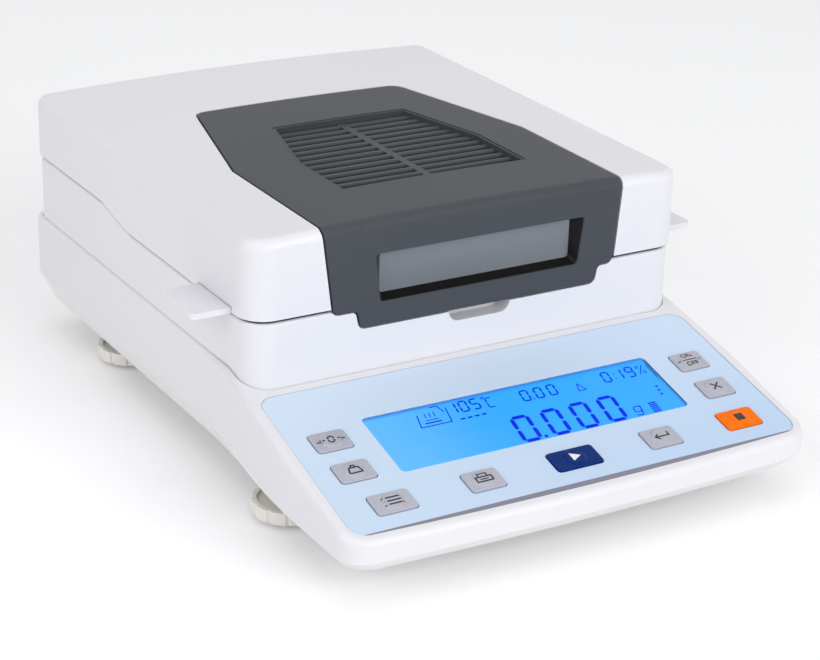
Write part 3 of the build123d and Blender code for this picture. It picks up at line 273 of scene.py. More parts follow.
def mix_colours(tree, mask, first, second):
    """A colour that goes from the first to the second as the mask rises; each may be a socket."""
    mix = tree.nodes.new("ShaderNodeMix")
    mix.data_type = "RGBA"
    tree.links.new(mask, mix.inputs["Factor"])
    for name, colour in (("A", first), ("B", second)):
        if isinstance(colour, tuple):
            mix.inputs[name].default_value = (*colour, 1)
        else:
            tree.links.new(colour, mix.inputs[name])
    return mix.outputs["Result"]


def vary_roughness(tree, shader, scale, low, high):
    """Lets a noise of the given scale move the roughness between two values."""
    place = tree.nodes.new("ShaderNodeTexCoord")
    noise = tree.nodes.new("ShaderNodeTexNoise")
    noise.inputs["Scale"].default_value = scale
    spread = tree.nodes.new("ShaderNodeMapRange")
    spread.inputs["To Min"].default_value = low
    spread.inputs["To Max"].default_value = high
    tree.links.new(place.outputs["Object"], noise.inputs["Vector"])
    tree.links.new(noise.outputs["Fac"], spread.inputs["Value"])
    tree.links.new(spread.outputs["Result"], shader.inputs["Roughness"])


overlay_film, tree, shader = new_material("overlay_film")
parts = along_console(tree)
rightwards = step_mask(tree, parts.outputs["X"], -0.115, 0.115)
downwards = step_mask(tree, parts.outputs["Y"], 0.0, -0.095)
left_blue = mix_colours(tree, downwards, (0.625, 0.745, 0.890), (0.565, 0.700, 0.870))
right_blue = mix_colours(tree, downwards, (0.595, 0.725, 0.895), (0.500, 0.645, 0.850))
film_blue = mix_colours(tree, rightwards, left_blue, right_blue)
band = step_mask(tree, parts.outputs["Y"], (band_line + 0.12) * MM, (band_line - 0.12) * MM)
film_print = mix_colours(tree, band, film_blue, (0.205, 0.205, 0.262))
tree.links.new(film_print, shader.inputs["Base Color"])
vary_roughness(tree, shader, 2200.0, 0.34, 0.46)
dress(overlay_film, "console_overlay")

# Display: a backlit blue panel under a clear film, with its segments driven dark blue. The glow is
# painted darker at the panel's upper and right edges: painted shade from the walls of its recess.
display_half = 70.0
display_top = -26.06
backlit_panel, tree, shader = new_material("backlit_panel")
parts = along_console(tree)
across = step_mask(tree, parts.outputs["X"], -display_half * MM, -10 * MM)
glow = mix_colours(tree, across, (0.125, 0.490, 1.0), (0.030, 0.395, 1.0))
# Painted shade: the glow darkens along the panel's upper and right edges.
painted_top_shade = step_mask(tree, parts.outputs["Y"], (display_top - 2.4) * MM, display_top * MM)
painted_right_shade = step_mask(tree, parts.outputs["X"], (display_half - 2.0) * MM, display_half * MM)
glow = mix_colours(tree, painted_top_shade, glow, (0.015, 0.220, 0.850))
glow = mix_colours(tree, painted_right_shade, glow, (0.010, 0.180, 0.780))
panel_level = -(film_thickness + 0.3) * MM
lit = step_mask(tree, parts.outputs["Z"], panel_level, panel_level + 0.1 * MM)
glow = mix_colours(tree, lit, (0.0, 0.0, 0.0), glow)
tree.links.new(glow, shader.inputs["Emission Color"])
shader.inputs["Emission Strength"].default_value = 0.95
case = mix_colours(tree, lit, (0.05, 0.12, 0.06), (0.02, 0.06, 0.12))
tree.links.new(case, shader.inputs["Base Color"])
shader.inputs["Roughness"].default_value = 0.4
shader.inputs["Specular IOR Level"].default_value = 0.08
dress(backlit_panel, "lcd_module")

clear_film, tree, shader = new_material("clear_film")
shader.inputs["Base Color"].default_value = (1, 1, 1, 1)
shader.inputs["Transmission Weight"].default_value = 1.0
shader.inputs["IOR"].default_value = 1.1
vary_roughness(tree, shader, 60.0, 0.02, 0.06)
dress(clear_film, "display_window")

segment_ink, tree, shader = new_material("segment_ink")
parts = along_console(tree)
depth = step_mask(tree, parts.outputs["X"], -display_half * MM, display_half * MM)
ink = mix_colours(tree, depth, (0.0, 0.016, 0.66), (0.0, 0.014, 0.84))
tree.links.new(ink, shader.inputs["Emission Color"])
shader.inputs["Emission Strength"].default_value = 0.9
shader.inputs["Base Color"].default_value = (0.0, 0.01, 0.12, 1)
shader.inputs["Specular IOR Level"].default_value = 0.05

# Segments a to g of a digit, each from one end to the other on a cell one wide and one high.
segment_ends = {
    "a": ((0, 1), (1, 1)), "b": ((1, 1), (1, 0.5)), "c": ((1, 0.5), (1, 0)),
    "d": ((1, 0), (0, 0)), "e": ((0, 0), (0, 0.5)), "f": ((0, 0.5), (0, 1)),
    "g": ((0, 0.5), (1, 0.5)),
}
lit_segments = {"0": "abcdef", "1": "bc", "5": "acdfg", "9": "abcdfg", "C": "adef"}
slant = 0.115


def bar(bm, start, end, thickness, gap):
    """One flat segment with pointed ends, as a face in the XY plane."""
    start, end = Vector(start), Vector(end)
    run = (end - start).normalized()
    side = Vector((-run.y, run.x)) * thickness / 2
    near, far = start + run * gap, end - run * gap
    point = run * thickness / 2
    corners = [near, near + point + side, far - point + side, far, far - point - side,
               near + point - side]
    return bm.faces.new([bm.verts.new((c.x, c.y, 0)) for c in corners])


def digit(bm, sign, left, bottom, width, height, thickness):
    """A digit of slanted segments with its lower left corner at the given place."""
    for letter in lit_segments[sign]:
        ends = []
        for u, v in segment_ends[letter]:
            ends.append((left + u * width + v * height * slant, bottom + v * height))
        bar(bm, ends[0], ends[1], thickness, thickness * 0.12)


def block(bm, left, bottom, right, top):
    """A flat upright rectangle."""
    corners = [(left, bottom), (right, bottom), (right, top), (left, top)]
    return bm.faces.new([bm.verts.new((x, y, 0)) for x, y in corners])


def stroke(bm, path, width, closed=False):
    """A flat line of one width along a path, with mitred corners."""
    points = [Vector(p) for p in path]
    count = len(points)
    rails = []
    for index, point in enumerate(points):
        before = points[index - 1] if index or closed else None
        after = points[(index + 1) % count] if index < count - 1 or closed else None
        runs = []
        if before is not None:
            runs.append((point - before).normalized())
        if after is not None:
            runs.append((after - point).normalized())
        run = sum(runs, Vector((0, 0))).normalized()
        side = Vector((-run.y, run.x))
        reach = width / 2 / max(0.3, side.dot(Vector((-runs[0].y, runs[0].x))))
        rails.append((point + side * reach, point - side * reach))
    verts = [[bm.verts.new((rail.x, rail.y, 0)) for rail in pair] for pair in rails]
    for index in range(count if closed else count - 1):
        here, there = verts[index], verts[(index + 1) % count]
        bm.faces.new([here[0], here[1], there[1], there[0]])


def thicken(bm, height):
    """Turns flat marks into thin solid ones that stand up by the given height."""
    bmesh.ops.recalc_face_normals(bm, faces=bm.faces)
    for face in bm.faces:
        if face.normal.z < 0:
            face.normal_flip()
    raised = bmesh.ops.extrude_face_region(bm, geom=list(bm.faces), use_keep_orig=True)
    tops = [v for v in raised["geom"] if isinstance(v, bmesh.types.BMVert)]
    bmesh.ops.translate(bm, verts=tops, vec=(0, 0, height))
    bmesh.ops.recalc_face_normals(bm, faces=bm.faces)


def to_metres(bm):
    """Scales what was drawn in millimetres to the scene's metres."""
    bmesh.ops.scale(bm, verts=bm.verts, vec=(MM, MM, MM))


def lay_on_console(bm, above):
    """Takes marks drawn in millimetres on the console plane to their place on it."""
    bmesh.ops.translate(bm, verts=bm.verts, vec=(0, 0, above))
    to_metres(bm)
    bmesh.ops.transform(bm, verts=bm.verts, matrix=console)


def piece(name, bm, material, body, crease=35.0):
    """A finished bmesh becomes a piece that moves with one body."""
    mesh = bpy.data.meshes.new(name)
    bm.to_mesh(mesh)
    bm.free()
    mesh.shade_smooth()
    mesh.set_sharp_from_angle(angle=radians(crease))
    mesh.materials.append(material)
    made = bpy.data.objects.new(name, mesh)
    bpy.context.scene.collection.objects.link(made)
    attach(made, body)
    return made


mark_height = 0.05
ink_level = -film_thickness + 0.02
readings = [
    ("0", -11.0, -60.2, 7.4, 15.0, 1.9), ("0", 3.6, -60.2, 7.4, 15.0, 1.9),
    ("0", 17.7, -60.2, 7.4, 15.0, 1.9), ("0", 31.8, -60.2, 7.4, 15.0, 1.9),
    ("1", -31.6, -34.7, 3.4, 6.4, 0.8), ("0", -26.1, -34.7, 3.4, 6.4, 0.8),
    ("5", -20.6, -34.7, 3.4, 6.4, 0.8), ("C", -13.6, -35.6, 3.0, 6.0, 0.6),
    ("0", 3.0, -36.6, 3.4, 6.5, 0.8), ("0", 9.8, -36.6, 3.4, 6.5, 0.8),
    ("0", 16.4, -36.6, 3.4, 6.5, 0.8),
    ("0", 44.3, -36.3, 3.4, 6.4, 0.8), ("1", 50.6, -36.3, 3.4, 6.4, 0.8),
    ("9", 56.7, -36.3, 3.4, 6.4, 0.8),
]
bm = bmesh.new()
for sign, left, bottom, width, height, thickness in readings:
    digit(bm, sign, left, bottom, width, height, thickness)
block(bm, -1.6, -60.6, -0.1, -59.1)
block(bm, 7.4, -36.9, 8.1, -36.2)
block(bm, 50.1, -35.4, 50.7, -34.8)
block(bm, 50.6, -32.4, 51.2, -31.8)
for step in range(6):
    block(bm, 53.0 + 0.12 * step, -60.8 + 1.15 * step, 56.9 + 0.12 * step, -60.1 + 1.15 * step)
thicken(bm, mark_height)
lay_on_console(bm, ink_level)
piece("display_digits", bm, segment_ink, "base")

open_lines = [
    ([(49.0, -55.6), (48.6, -54.9), (46.2, -54.9), (45.6, -55.6), (45.2, -57.6), (45.8, -58.3),
      (47.8, -58.3), (48.4, -57.6)], 0.5),
    ([(49.2, -54.7), (48.2, -59.6), (47.5, -60.4), (45.2, -60.4), (44.7, -59.8)], 0.5),
    ([(66.2, -30.4), (62.6, -36.0)], 0.45),
    ([(-46.2, -31.0), (-48.2, -38.8), (-33.8, -38.8), (-32.0, -29.8)], 0.5),
    ([(-38.6, -27.8), (-35.0, -27.8), (-33.8, -32.2)], 0.5),
    ([(-45.4, -36.9), (-37.4, -36.9)], 0.7), ([(-44.4, -35.2), (-38.2, -35.2)], 0.4),
]
closed_lines = [
    ([(-14.1, -28.6), (-13.2, -28.6), (-13.4, -29.5), (-14.3, -29.5)], 0.35),
    ([(63.0, -30.6), (64.0, -30.6), (63.8, -31.8), (62.8, -31.8)], 0.35),
    ([(65.0, -34.4), (66.0, -34.4), (65.8, -35.6), (64.8, -35.6)], 0.35),
    ([(29.6, -37.6), (31.2, -33.2), (33.4, -37.6)], 0.45),
]
bm = bmesh.new()
for path, width in open_lines:
    stroke(bm, path, width)
for path, width in closed_lines:
    stroke(bm, path, width, closed=True)
for step in range(3):
    stroke(bm, [(-43.2 + 2.1 * step, -33.6), (-42.6 + 2.1 * step, -30.6)], 0.4)
for step in range(4):
    block(bm, -29.6 + 3.4 * step, -39.2, -27.4 + 3.4 * step, -38.3)
for row in range(3):
    block(bm, 63.8 - 0.4 * row, -46.0 - 2.6 * row, 65.0 - 0.4 * row, -45.0 - 2.6 * row)
thicken(bm, mark_height)
lay_on_console(bm, ink_level)
piece("display_signs", bm, segment_ink, "base")

# Keys: caps in silver grey, one navy and one orange, each a thin moulding with a raised round
# middle whose rim catches the light. They rise through the overlay from the board below it.
key_grey = moulded("key_grey", (0.440, 0.445, 0.510), (0.420, 0.425, 0.490), 0.28, 0.08)
key_navy = moulded("key_navy", (0.001, 0.026, 0.165), (0.001, 0.022, 0.150), 0.22, 0.06, 0.08)
key_orange = moulded("key_orange", (1.0, 0.185, 0.001), (0.96, 0.170, 0.001), 0.26, 0.06, 0.08)
key_height = 0.8
dome_radius = 5.0
dome_flat = 3.9
dome_rise = 0.6
upper_row, middle_row, lower_row = -103.7, -123.01, -144.0
key_places = {
    "key_tare": (-88.5, upper_row), "key_cal": (-88.5, middle_row),
    "key_program": (-83.0, lower_row), "key_print": (-41.5, lower_row),
    "key_start": (2.0, lower_row), "key_enter": (45.0, lower_row), "key_stop": (85.5, lower_row),
    "key_esc": (88.5, middle_row), "key_onoff": (88.5, upper_row),
}
key_paint = {name: (key_grey, "key_grey") for name in key_places}
key_paint["key_start"] = (key_navy, "key_navy")
key_paint["key_stop"] = (key_orange, "key_orange")


def up_slope(y):
    """How far a place at this Y lies along the console from its origin."""
    return (y + 69.3) / cos(console_slope)


def over_dome(x, y):
    """Height of the raised middle at a place on the key: level, then a soft round rim."""
    out = (Vector((x, y)).length - dome_flat) / (dome_radius - dome_flat)
    out = min(1.0, max(0.0, out))
    return dome_rise * (1 - out * out * (3 - 2 * out))


for name, (key_x, key_y) in key_places.items():
    paint, slot = key_paint[name]
    dress(paint, name)
    bm = bmesh.new()
    bmesh.ops.create_circle(bm, cap_ends=True, cap_tris=True, segments=64, radius=dome_radius)
    spokes = [e for e in bm.edges if any(v.co.length < 0.01 for v in e.verts)]
    bmesh.ops.subdivide_edges(bm, edges=spokes, cuts=15, use_grid_fill=True)
    for v in bm.verts:
        v.co.z = over_dome(v.co.x, v.co.y)
    rim = [e for e in bm.edges if e.is_boundary]
    bmesh.ops.extrude_edge_only(bm, edges=rim)
    skirt = [v for v in bm.verts if v.is_boundary]
    bmesh.ops.translate(bm, verts=skirt, vec=(0, 0, -0.2))
    bmesh.ops.holes_fill(bm, edges=[e for e in bm.edges if e.is_boundary], sides=64)
    bmesh.ops.recalc_face_normals(bm, faces=bm.faces)
    bmesh.ops.translate(bm, verts=bm.verts, vec=(key_x, up_slope(key_y), 0))
    lay_on_console(bm, key_height)
    piece(name + "_dome", bm, paint, name)

# Key legends: plain signs printed on the caps, one for each key, with ON and OFF on the power key.
# They are screen-printed: cut into small faces, they follow the raised middle.
legend_black = moulded("legend_black", (0.008, 0.008, 0.010), (0.010, 0.010, 0.012), 0.5, 0.05)
legend_white = moulded("legend_white", (0.80, 0.82, 0.86), (0.76, 0.78, 0.82), 0.5, 0.05)
sign_lines = {
    "key_cal": [([(-0.8, 1.4), (-0.8, 2.5), (0.8, 2.5), (0.8, 1.4)], 0.6)],
    "key_program": [([(-2.6, row), (4.4, row)], 0.75) for row in (-1.9, 0.0, 1.9)],
    "key_print": [([(-2.0, 1.4), (-2.0, 2.8), (2.0, 2.8), (2.0, 1.4)], 0.6),
                  ([(-1.9, -0.4), (1.9, -0.4)], 0.6)],
    "key_enter": [([(3.4, 2.0), (3.4, -0.4), (-3.0, -0.4)], 0.75),
                  ([(-1.6, 1.1), (-3.3, -0.4), (-1.6, -1.9)], 0.75)],
    "key_esc": [([(-2.0, 2.0), (2.0, -2.0)], 0.75), ([(2.0, 2.0), (0.38, 0.38)], 0.75),
                ([(-0.38, -0.38), (-2.0, -2.0)], 0.75)],
    "key_onoff": [([(-6.0, 0), (6.0, 0)], 0.5)],
    "key_tare": [([(side * x, y) for x, y in path], width) for side in (-1, 1) for path, width in (
        ([(6.4, 0), (3.4, 0)], 0.65), ([(4.6, 1.2), (3.2, 0), (4.6, -1.2)], 0.6))],
}
sign_outlines = {
    "key_cal": [(-3.0, -2.0), (3.0, -2.0), (2.0, 1.2), (-2.0, 1.2)],
    "key_print": [(-3.6, -1.7), (3.6, -1.7), (3.6, 1.0), (-3.6, 1.0)],
}
sign_blocks = {
    "key_program": [(-4.4, row - 0.4, -3.5, row + 0.4) for row in (-1.9, 0.0, 1.9)],
    "key_stop": [(-2.1, -2.1, 2.1, 2.1)],
}
signs = {name: bmesh.new() for name in key_places}
digit(signs["key_tare"], "0", -1.4, -1.7, 2.4, 3.4, 0.75)
for name, bm in signs.items():
    for path, width in sign_lines.get(name, []):
        stroke(bm, path, width)
    for left, bottom, right, top in sign_blocks.get(name, []):
        block(bm, left, bottom, right, top)
    if name in sign_outlines:
        stroke(bm, sign_outlines[name], 0.75, closed=True)
start = signs["key_start"]
start.faces.new([start.verts.new((x, y, 0)) for x, y in ((-1.9, 2.4), (-1.9, -2.4), (2.6, 0.0))])
for word, row in (("ON", 2.75), ("OFF", -2.75)):
    letters = bpy.data.curves.new("letters", "FONT")
    letters.body = word
    letters.size = 3.5
    letters.offset = 0.07
    letters.align_x = "CENTER"
    letters.align_y = "CENTER"
    holder = bpy.data.objects.new("letters", letters)
    bpy.context.scene.collection.objects.link(holder)
    bpy.context.view_layer.update()
    outline = bpy.data.meshes.new_from_object(holder)
    outline.transform(Matrix.Translation((0, row, 0)))
    signs["key_onoff"].from_mesh(outline)
    bpy.data.objects.remove(holder)
cut_reach = 6
for name, (key_x, key_y) in key_places.items():
    bm = signs[name]
    for axis in range(2):
        for cut in range(-cut_reach, cut_reach + 1):
            spot, normal = Vector((0, 0, 0)), Vector((0, 0, 0))
            spot[axis], normal[axis] = cut + 0.5, 1
            everything = list(bm.verts) + list(bm.edges) + list(bm.faces)
            bmesh.ops.bisect_plane(bm, geom=everything, plane_co=spot, plane_no=normal)
    thicken(bm, mark_height)
    for v in bm.verts:
        v.co.z += over_dome(v.co.x, v.co.y)
    bmesh.ops.translate(bm, verts=bm.verts, vec=(key_x, up_slope(key_y), 0))
    lay_on_console(bm, key_height)
    if name == "key_start":
        piece(name + "_legend", bm, legend_white, name)
    else:
        piece(name + "_legend", bm, legend_black, name)

# Circuit boards: green glass-fibre boards with tracks under the solder mask and black parts on
# top. The key board lies under the slope on posts, and the other two stand in the tray.
def object_axes(tree):
    """Object coordinates, split into X, Y and Z."""
    place = tree.nodes.new("ShaderNodeTexCoord")
    split = tree.nodes.new("ShaderNodeSeparateXYZ")
    tree.links.new(place.outputs["Object"], split.inputs["Vector"])
    return split


def circuit_board(name, axes_of, top):
    """A green board, and black parts above a height on the axes that axes_of gives."""
    material, tree, shader = new_material(name)
    place = tree.nodes.new("ShaderNodeTexCoord")
    tracks = tree.nodes.new("ShaderNodeTexVoronoi")
    tracks.feature = "DISTANCE_TO_EDGE"
    tracks.inputs["Scale"].default_value = 260.0
    tree.links.new(place.outputs["Object"], tracks.inputs["Vector"])
    between = step_mask(tree, tracks.outputs["Distance"], 0.03, 0.06)
    board = mix_colours(tree, between, (0.060, 0.260, 0.110), (0.016, 0.110, 0.050))
    level = axes_of(tree).outputs["Z"]
    above = step_mask(tree, level, (top + 0.05) * MM, (top + 0.15) * MM)
    paint = mix_colours(tree, above, board, (0.020, 0.020, 0.022))
    tree.links.new(paint, shader.inputs["Base Color"])
    shader.inputs["Roughness"].default_value = 0.35
    return material


dress(circuit_board("key_board_mask", along_console, -6.7), "key_board")
dress(circuit_board("board_mask", object_axes, 22.6), "main_board", "power_supply")

# Worked metal: one group of fine lines, brushed along X or turned round a centre, and one
# maker of materials for the screws, the weighing parts and the heater.
def metal_marks():
    """A node group for worked metal: fine lines as a mask, and the relief that they leave."""
    group = bpy.data.node_groups.new("metal_marks", "ShaderNodeTree")
    face = group.interface
    face.new_socket("Vector", in_out="INPUT", socket_type="NodeSocketVector")
    depth = face.new_socket("Depth", in_out="INPUT", socket_type="NodeSocketFloat")
    depth.default_value = 0.2
    face.new_socket("Lines", in_out="OUTPUT", socket_type="NodeSocketFloat")
    face.new_socket("Normal", in_out="OUTPUT", socket_type="NodeSocketVector")
    start = group.nodes.new("NodeGroupInput")
    end = group.nodes.new("NodeGroupOutput")
    lines = group.nodes.new("ShaderNodeTexNoise")
    lines.inputs["Scale"].default_value = 1.0
    lines.inputs["Detail"].default_value = 4.0
    relief = group.nodes.new("ShaderNodeBump")
    relief.inputs["Distance"].default_value = 0.00004
    group.links.new(start.outputs["Vector"], lines.inputs["Vector"])
    group.links.new(start.outputs["Depth"], relief.inputs["Strength"])
    group.links.new(lines.outputs["Fac"], relief.inputs["Height"])
    group.links.new(lines.outputs["Fac"], end.inputs["Lines"])
    group.links.new(relief.outputs["Normal"], end.inputs["Normal"])
    return group


marks_group = metal_marks()


def worked_metal(name, light, dark, roughness, spread=(60.0, 2400.0, 2400.0), centre=None):
    """Bare metal with brushed lines, or with turned ones where a centre is given."""
    material, tree, shader = new_material(name)
    place = tree.nodes.new("ShaderNodeTexCoord")
    scaled = tree.nodes.new("ShaderNodeMapping")
    scaled.inputs["Scale"].default_value = spread
    if centre is None:
        tree.links.new(place.outputs["Object"], scaled.inputs["Vector"])
    else:
        flat = tree.nodes.new("ShaderNodeMapping")
        flat.inputs["Location"].default_value = (-centre[0], -centre[1], 0)
        flat.inputs["Scale"].default_value = (1, 1, 0)
        radius = tree.nodes.new("ShaderNodeVectorMath")
        radius.operation = "LENGTH"
        ring = tree.nodes.new("ShaderNodeCombineXYZ")
        tree.links.new(place.outputs["Object"], flat.inputs["Vector"])
        tree.links.new(flat.outputs["Vector"], radius.inputs[0])
        tree.links.new(radius.outputs["Value"], ring.inputs["X"])
        tree.links.new(ring.outputs["Vector"], scaled.inputs["Vector"])
    marks = tree.nodes.new("ShaderNodeGroup")
    marks.node_tree = marks_group
    marks.inputs["Depth"].default_value = 0.25
    tree.links.new(scaled.outputs["Vector"], marks.inputs["Vector"])
    tone = mix_colours(tree, step_mask(tree, marks.outputs["Lines"], 0.3, 0.7), dark, light)
    gloss = tree.nodes.new("ShaderNodeMapRange")
    gloss.inputs["To Min"].default_value = roughness + 0.08
    gloss.inputs["To Max"].default_value = roughness - 0.08
    tree.links.new(marks.outputs["Lines"], gloss.inputs["Value"])
    tree.links.new(gloss.outputs["Result"], shader.inputs["Roughness"])
    tree.links.new(tone, shader.inputs["Base Color"])
    tree.links.new(marks.outputs["Normal"], shader.inputs["Normal"])
    shader.inputs["Metallic"].default_value = 1.0
    return material


zinc_plate = worked_metal("zinc_plate", (0.58, 0.59, 0.60), (0.48, 0.49, 0.50), 0.34)
dress(zinc_plate, "tray_screws", "lid_screws", "hinge_pins", "lamp_clips", "temperature_sensor")

# Screw heads: a cross recess pressed into each zinc-plated head, under the tray and under the
# lid's frame. The recesses are shown by thin black crosses on the heads: painted shade.
# Painted shade: flat black crosses stand for the dark inside of each recess.
recess_shade_black = moulded("recess_shade_black", (0.010, 0.010, 0.011), (0.014, 0.014, 0.015), 0.6, 0.1)
recess_long, recess_wide, recess_thick = 3.2, 0.7, 0.04
for group, spots, level, body in (
    ("tray_screw", [(99.5, -140.0), (90, 20), (90, 146)], 13.4, "base"),
    ("lid_screw", [(88, -40), (88, 128)], 81.4, "lid"),
):
    bm = bmesh.new()
    for x, y in [(side * x, y) for side in (-1, 1) for x, y in spots]:
        turned = Matrix.Rotation(radians(x * y), 3, "Z")
        for wide, long in ((recess_wide, recess_long), (recess_long, recess_wide)):
            made = bmesh.ops.create_cube(bm, size=1.0)
            bmesh.ops.scale(bm, verts=made["verts"], vec=(wide, long, recess_thick))
            bmesh.ops.rotate(bm, verts=made["verts"], matrix=turned)
            bmesh.ops.translate(bm, verts=made["verts"], vec=(x, y, level))
    to_metres(bm)
    piece(group + "_recesses", bm, recess_shade_black, body)

# Load cell: one block of machined aluminium, cut out so that it bends under load. It stands on a
# cast aluminium frame, which the tray carries.
cast_aluminium = moulded("cast_aluminium", (0.42, 0.43, 0.44), (0.36, 0.37, 0.38), 0.55, 0.6)
cast_aluminium.node_tree.nodes["Principled BSDF"].inputs["Metallic"].default_value = 1.0
machined_aluminium = worked_metal("machined_aluminium", (0.74, 0.75, 0.77), (0.66, 0.67, 0.69),
                                  0.30)
dress(cast_aluminium, "load_cell_frame")
dress(machined_aluminium, "load_cell")

# Rear sockets: black moulded bodies flush with the back wall. The inlet has three plated blades,
# and the port a nickel shell round its face.
socket_black = moulded("socket_black", (0.022, 0.022, 0.024), (0.016, 0.016, 0.018), 0.42, 0.25)
dress(socket_black, "power_inlet", "data_port")
nickel_plate = worked_metal("nickel_plate", (0.62, 0.60, 0.55), (0.54, 0.52, 0.48), 0.26)
rear_wall = 164.5
blade_size = (2.12, 10.06, 4.12)
bm = bmesh.new()
for x, z in ((-68, 42.5), (-62, 46.0), (-56, 42.5)):
    made = bmesh.ops.create_cube(bm, size=1.0)
    bmesh.ops.scale(bm, verts=made["verts"], vec=blade_size)
    bmesh.ops.translate(bm, verts=made["verts"], vec=(x, rear_wall - 11.0, z))
tips = [e for e in bm.edges if all(v.co.y > rear_wall - 7 for v in e.verts)]
bmesh.ops.bevel(bm, geom=tips, offset=0.6, segments=2, profile=0.5, affect="EDGES", material=-1)
to_metres(bm)
piece("inlet_blades", bm, nickel_plate, "base")


def hollow_out(bm, width):
    """Leaves only a rim of the given width of the one flat face in the bmesh."""
    rim = bmesh.ops.inset_region(bm, faces=list(bm.faces), thickness=width, use_boundary=True,
                                 use_even_offset=True)
    inner = [f for f in bm.faces if f not in rim["faces"]]
    bmesh.ops.delete(bm, geom=inner, context="FACES")


port_x, port_z = 58, 44
shell_face = rear_wall - 0.05
bm = bmesh.new()
corners = [(-8.3, 4.2), (8.3, 4.2), (6.9, -4.2), (-6.9, -4.2)]
bm.faces.new([bm.verts.new((port_x + x, shell_face, port_z + z)) for x, z in corners])
bmesh.ops.bevel(bm, geom=list(bm.verts), offset=1.6, segments=5, profile=0.5, affect="VERTICES",
                material=-1)
hollow_out(bm, 0.55)
bmesh.ops.solidify(bm, geom=list(bm.faces), thickness=1.6)
sunk = max(v.co.y for v in bm.verts) - shell_face
bmesh.ops.translate(bm, verts=bm.verts, vec=(0, -sunk, 0))
bmesh.ops.recalc_face_normals(bm, faces=bm.faces)
to_metres(bm)
piece("port_shell", bm, nickel_plate, "base")

# Weighing chamber: a spun steel bowl, a loose ring against draughts, and a support on the load
# cell's shaft that carries the pressed aluminium pan.
chamber_y = 20.0
chamber = (0.0, chamber_y * MM)
spun_steel = worked_metal("spun_steel", (0.60, 0.60, 0.61), (0.50, 0.50, 0.51), 0.30,
                          spread=(1500.0, 1.0, 1.0), centre=chamber)
pressed_aluminium = worked_metal("pressed_aluminium", (0.84, 0.84, 0.85), (0.76, 0.76, 0.77), 0.30,
                                 spread=(900.0, 1.0, 1.0), centre=chamber)
dress(spun_steel, "chamber_liner", "draft_shield", "pan_support")
dress(pressed_aluminium, "sample_pan")

# Spirit level: a vial of yellow-green fluid in a white cup on the sill, with a ring printed on
# its top and a bubble under it.
vial_fluid, tree, shader = new_material("vial_fluid")
place = tree.nodes.new("ShaderNodeTexCoord")
swirl = tree.nodes.new("ShaderNodeTexNoise")
swirl.inputs["Scale"].default_value = 200.0
tree.links.new(place.outputs["Object"], swirl.inputs["Vector"])
fluid = mix_colours(tree, swirl.outputs["Fac"], (0.62, 0.86, 0.16), (0.56, 0.82, 0.14))
tree.links.new(fluid, shader.inputs["Base Color"])
shader.inputs["Roughness"].default_value = 0.05
shader.inputs["Transmission Weight"].default_value = 0.6
shader.inputs["IOR"].default_value = 1.35
dress(vial_fluid, "level_vial")
bubble_gas = moulded("bubble_gas", (0.86, 0.95, 0.55), (0.84, 0.93, 0.52), 0.08, 0.0)
level_spot = (84.0, 128.0, 79.72)
bubble_spot = (84.5, 127.7, 79.7)
bm = bmesh.new()
bmesh.ops.create_uvsphere(bm, u_segments=32, v_segments=16, radius=1.9)
bmesh.ops.scale(bm, verts=bm.verts, vec=(1, 1, 0.12))
bmesh.ops.translate(bm, verts=bm.verts, vec=bubble_spot)
to_metres(bm)
piece("level_bubble", bm, bubble_gas, "base")
bm = bmesh.new()
bmesh.ops.create_circle(bm, cap_ends=True, segments=48, radius=3.3)
hollow_out(bm, 0.35)
thicken(bm, 0.04)
bmesh.ops.translate(bm, verts=bm.verts, vec=level_spot)
to_metres(bm)
piece("level_ring", bm, legend_black, "base")

# Lid cover and vent: a heat-proof plastic in anthracite, finely textured. The walls of the
# window's opening in it are coloured near-black as painted shade, and made glossier.
dark_moulding = moulded("dark_moulding", (0.066, 0.071, 0.080), (0.060, 0.065, 0.073), 0.46, 0.30,
                        0.1)
dress(dark_moulding, "vent_grille")
cover_moulding = moulded("cover_moulding", (0.068, 0.074, 0.084), (0.062, 0.067, 0.077), 0.46, 0.30,
                         0.1)
tree = cover_moulding.node_tree
shader = tree.nodes["Principled BSDF"]
parts = object_axes(tree)
# Painted shade: the walls of the window's opening turn near-black; the same mask lowers their
# roughness.
shaded_gloss_walls = step_mask(tree, parts.outputs["Y"], -0.0672, -0.0668)
opening_sides = [("Y", -0.0600, -0.0602), ("Z", 0.0815, 0.0820), ("Z", 0.1062, 0.1058),
                 ("X", -0.0530, -0.0525), ("X", 0.0590, 0.0585)]
for side, near, far in opening_sides:
    kept = tree.nodes.new("ShaderNodeMath")
    kept.operation = "MULTIPLY"
    tree.links.new(shaded_gloss_walls, kept.inputs[0])
    tree.links.new(step_mask(tree, parts.outputs[side], near, far), kept.inputs[1])
    shaded_gloss_walls = kept.outputs[0]
textured = tree.nodes["finish"].outputs["Colour"]
walls = mix_colours(tree, shaded_gloss_walls, textured, (0.010, 0.010, 0.011))
tree.links.new(walls, shader.inputs["Base Color"])
sheen = tree.nodes.new("ShaderNodeMapRange")
sheen.inputs["To Min"].default_value = 0.46
sheen.inputs["To Max"].default_value = 0.24
tree.links.new(shaded_gloss_walls, sheen.inputs["Value"])
tree.links.new(sheen.outputs["Result"], shader.inputs["Roughness"])
dress(cover_moulding, "lid_cover")
